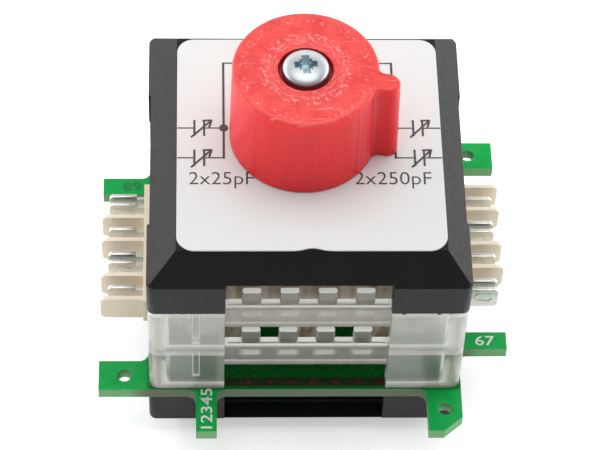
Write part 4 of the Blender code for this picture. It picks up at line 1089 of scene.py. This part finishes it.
def knob_rings(outline, wobble):
    """Rings of the knob's skin, each as (height, points): side, top, recess, hole, bore and underside."""
    low, high = KNOB_LOW.z, KNOB_HIGH.z
    flare = KNOB_FOOT_RADIUS / KNOB_RADIUS
    rings = []
    layers = round((high - low) / PRINT_LAYER)
    for i in range(2 * layers - 1):
        height = low + 0.04 * MM + i * PRINT_LAYER / 2
        share = (height - low) / (high - low)
        groove = 0.008 * MM if i % 2 else 0.0
        spread = 1.0 + (flare - 1.0) * (1.0 - share)
        rings.append((height, [point.normalized() * (point.length * spread + push - groove - 0.03 * MM)
                               for point, push in zip(outline, wobble)]))
    last = rings[-1][1]
    for inset, drop in ((0.02, 0.10), (0.09, 0.03), (0.20, 0.0), (0.34, 0.012), (0.44, 0.05), (0.52, 0.075)):
        rings.append((high - drop * MM, [p.normalized() * (p.length - inset * MM) for p in last]))
    edge = rings[-1][1]
    rim = RECESS_RADIUS + 0.12 * MM
    steps = 18
    for i in range(1, steps + 1):
        t = i / steps
        swell = 0.035 * MM * max(0.0, 1.0 - abs(t - 0.93) / 0.1)
        ring = [p.normalized() * (p.length + (rim - p.length) * t) for p in edge]
        rings.append((high - 0.075 * MM + swell, ring))
    bore_top = SHAFT_TOP + 0.05 * MM
    for radius, height in ((RECESS_RADIUS + 0.03 * MM, high - 0.09 * MM), (RECESS_RADIUS, high - 0.18 * MM),
                           (RECESS_RADIUS, (high + RECESS_FLOOR) / 2), (RECESS_RADIUS, RECESS_FLOOR),
                           (SCREW_HOLE_RADIUS, RECESS_FLOOR), (SCREW_HOLE_RADIUS, bore_top),
                           (BORE_RADIUS, bore_top), (BORE_RADIUS, low)):
        rings.append((height, [p.normalized() * radius for p in outline]))
    underside = [p.normalized() * (p.length * KNOB_FOOT_RADIUS / KNOB_RADIUS - 0.1 * MM) for p in outline]
    return rings + [(low, underside)]


def make_knob():
    outline = knob_outline()
    count = len(outline)
    chance = random.Random(7)
    facets = [chance.uniform(-0.006, 0.006) * MM for _ in range(count // 3 + 2)]
    wobble = [facets[i // 3] for i in range(count)]
    spin = Matrix.Translation(AXIS) @ Matrix.Rotation(POINTER_ANGLE, 4, 'Z')
    shape = bmesh.new()
    skin = [[shape.verts.new(spin @ Vector((p.x, p.y, height))) for p in ring]
            for height, ring in knob_rings(outline, wobble)]
    for lower, upper in zip(skin, skin[1:] + skin[:1]):
        for i in range(count):
            j = (i + 1) % count
            shape.faces.new((lower[i], lower[j], upper[j], upper[i]))
    stands_for(smooth_within(from_bmesh("printed_knob", shape, RED), 50), "knob", "tuner")


def tapered_arm(length, width, depth, turn, taper):
    """A bar through the screw's axis that narrows downwards."""
    low, high = SCREW_HIGH.z - depth, SCREW_HIGH.z + 0.5 * MM
    shape = bmesh.new()
    place = Matrix.Translation((0, 0, (low + high) / 2)) @ Matrix.Diagonal((length, width, high - low, 1.0))
    bmesh.ops.create_cube(shape, size=1.0, matrix=place)
    for vertex in shape.verts:
        if vertex.co.z < (low + high) / 2:
            vertex.co.x *= taper
            vertex.co.y *= 0.8
    return moved(from_bmesh("arm", shape), Matrix.Translation(AXIS) @ Matrix.Rotation(turn, 4, 'Z'))


def make_knob_screw():
    top = SCREW_HIGH.z
    head, crown = HEAD_RADIUS, HEAD_CROWN
    seat = RECESS_FLOOR + 0.04 * MM
    shank = 0.95 * MM
    steps = 14
    profile = [(0.0, top)]
    for i in range(1, steps + 1):
        t = pi / 2 * i / steps
        profile.append((head * sin(t), top - crown + crown * cos(t)))
    profile += [(head, seat + 0.1 * MM), (head - 0.1 * MM, seat), (shank, seat), (shank, SCREW_LOW.z),
                (0.0, SCREW_LOW.z)]
    screw = lathe("cross_head_screw", profile, 72)
    for turn in (CROSS_TURN, CROSS_TURN + pi / 2):
        screw = cut(screw, tapered_arm(2.5 * MM, 0.66 * MM, 0.8 * MM, turn, 0.4))
        screw = cut(screw, tapered_arm(1.75 * MM, 0.17 * MM, 0.35 * MM, turn + pi / 4, 0.7))
    screw = cut(screw, lathe("pit", [(0.0, top + 0.5 * MM), (0.62 * MM, top + 0.5 * MM),
                                     (0.54 * MM, top - 0.25 * MM), (0.0, top - 0.95 * MM)], 32))
    stands_for(smooth_within(painted(screw, ZINC), 32), "knob_screw", "tuner")


# Pieces that keep their CAD shape

FINISHES = {
    "capacitor_case": MILKY, "capacitor_front_plate": MILKY, "shaft_bushing": BRASS, "tuning_shaft": BRASS,
    "stator": ALUMINIUM, "rotor": ALUMINIUM, "film": FILM, "terminal": STAINED_AND_SHADED, "case_screw": ZINC,
    "trimmer": BRASS,
}


def finish_inner_pieces():
    for name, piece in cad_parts.items():
        for beginning, material in FINISHES.items():
            if name.startswith(beginning):
                piece.data.materials.clear()
                painted(piece, material)


# Stage

def make_floor():
    shape = bmesh.new()
    bmesh.ops.create_grid(shape, x_segments=1, y_segments=1, size=2.0)
    paint = mottled("floor_white", 300.0, (0.925, 0.925, 0.925), (0.94, 0.94, 0.94), 0.85,
                    Emission_Strength=0.42)
    paint.set("Emission Color", (1.0, 1.0, 1.0, 1.0))
    floor = from_bmesh("floor", shape, paint.material)
    floor.location.z = CAD_BOX[0].z - 0.02 * MM


def make_lights():
    world = bpy.data.worlds.new("studio")
    world.use_nodes = True
    background = world.node_tree.nodes["Background"]
    background.inputs["Color"].default_value = (1.0, 1.0, 1.0, 1.0)
    background.inputs["Strength"].default_value = 0.38
    bpy.context.scene.world = world
    aim = Vector((0.0, 0.0, 0.015))
    for name, place, width, height, radiance in (
            ("overhead", (0.0, 0.07, 0.62), 0.55, 0.45, 2.6),
            ("left_wall", (-0.52, 0.2, 0.19), 0.75, 0.4, 2.6),
            ("right_wall", (0.52, 0.2, 0.19), 0.75, 0.4, 2.3),
            ("back_wall", (0.0, 0.6, 0.22), 0.8, 0.4, 1.45)):
        lamp = bpy.data.lights.new(name, 'AREA')
        lamp.shape = 'RECTANGLE'
        lamp.size = width
        lamp.size_y = height
        lamp.energy = radiance * pi * width * height
        holder = placed(name, lamp)
        holder.location = place
        holder.rotation_euler = (aim - Vector(place)).to_track_quat('-Z', 'Y').to_euler()


CAMERA_ELEVATION = radians(53.43)
CAMERA_YAW = radians(3.46)
CAMERA_ROLL = radians(-2.76)
CAMERA_DISTANCE = 234.6 * MM
CAMERA_OFFSET = (-0.262 * MM, 3.134 * MM)       # of the view's middle, across and up, from the board's centre
CAMERA_LENS = 166.0


def make_camera():
    sine, cosine = sin(CAMERA_ELEVATION), cos(CAMERA_ELEVATION)
    turn = Matrix.Rotation(-CAMERA_YAW, 3, 'Z')
    right = turn @ Vector((1.0, 0.0, 0.0))
    up = turn @ Vector((0.0, sine, cosine))
    forward = turn @ Vector((0.0, cosine, -sine))
    centre = Vector((0.0, 0.0, BOARD_TOP))
    place = centre + right * CAMERA_OFFSET[0] + up * CAMERA_OFFSET[1] - forward * CAMERA_DISTANCE
    rolled_right = right * cos(CAMERA_ROLL) - up * sin(CAMERA_ROLL)
    rolled_up = right * sin(CAMERA_ROLL) + up * cos(CAMERA_ROLL)
    optics = bpy.data.cameras.new("camera")
    optics.lens = CAMERA_LENS
    optics.sensor_width = 36.0
    optics.clip_start = 0.01
    optics.clip_end = 10.0
    camera = placed("camera", optics)
    facing = Matrix((rolled_right, rolled_up, -forward)).transposed().to_4x4()
    camera.matrix_world = Matrix.Translation(place) @ facing
    bpy.context.scene.camera = camera


def main():
    make_cover("cover_shell", "top_cover", TOP_WALL_HEIGHT, False)
    make_cover("base_shell", "bottom_cover", BASE_WALL_HEIGHT, True)
    make_flash_nibs()
    make_label()
    make_label_print()
    make_spacer_frame("clear_frame_lower", "lower_spacer_frame", CLEAR)
    make_spacer_frame("clear_frame_upper", "upper_spacer_frame", HAZY)
    make_board()
    make_board_print()
    make_connector("left", 0.0)
    make_connector("right", pi)
    make_knob()
    make_knob_screw()
    finish_inner_pieces()
    make_floor()
    make_lights()
    make_camera()
    bpy.context.scene.view_settings.view_transform = 'Standard'


main()
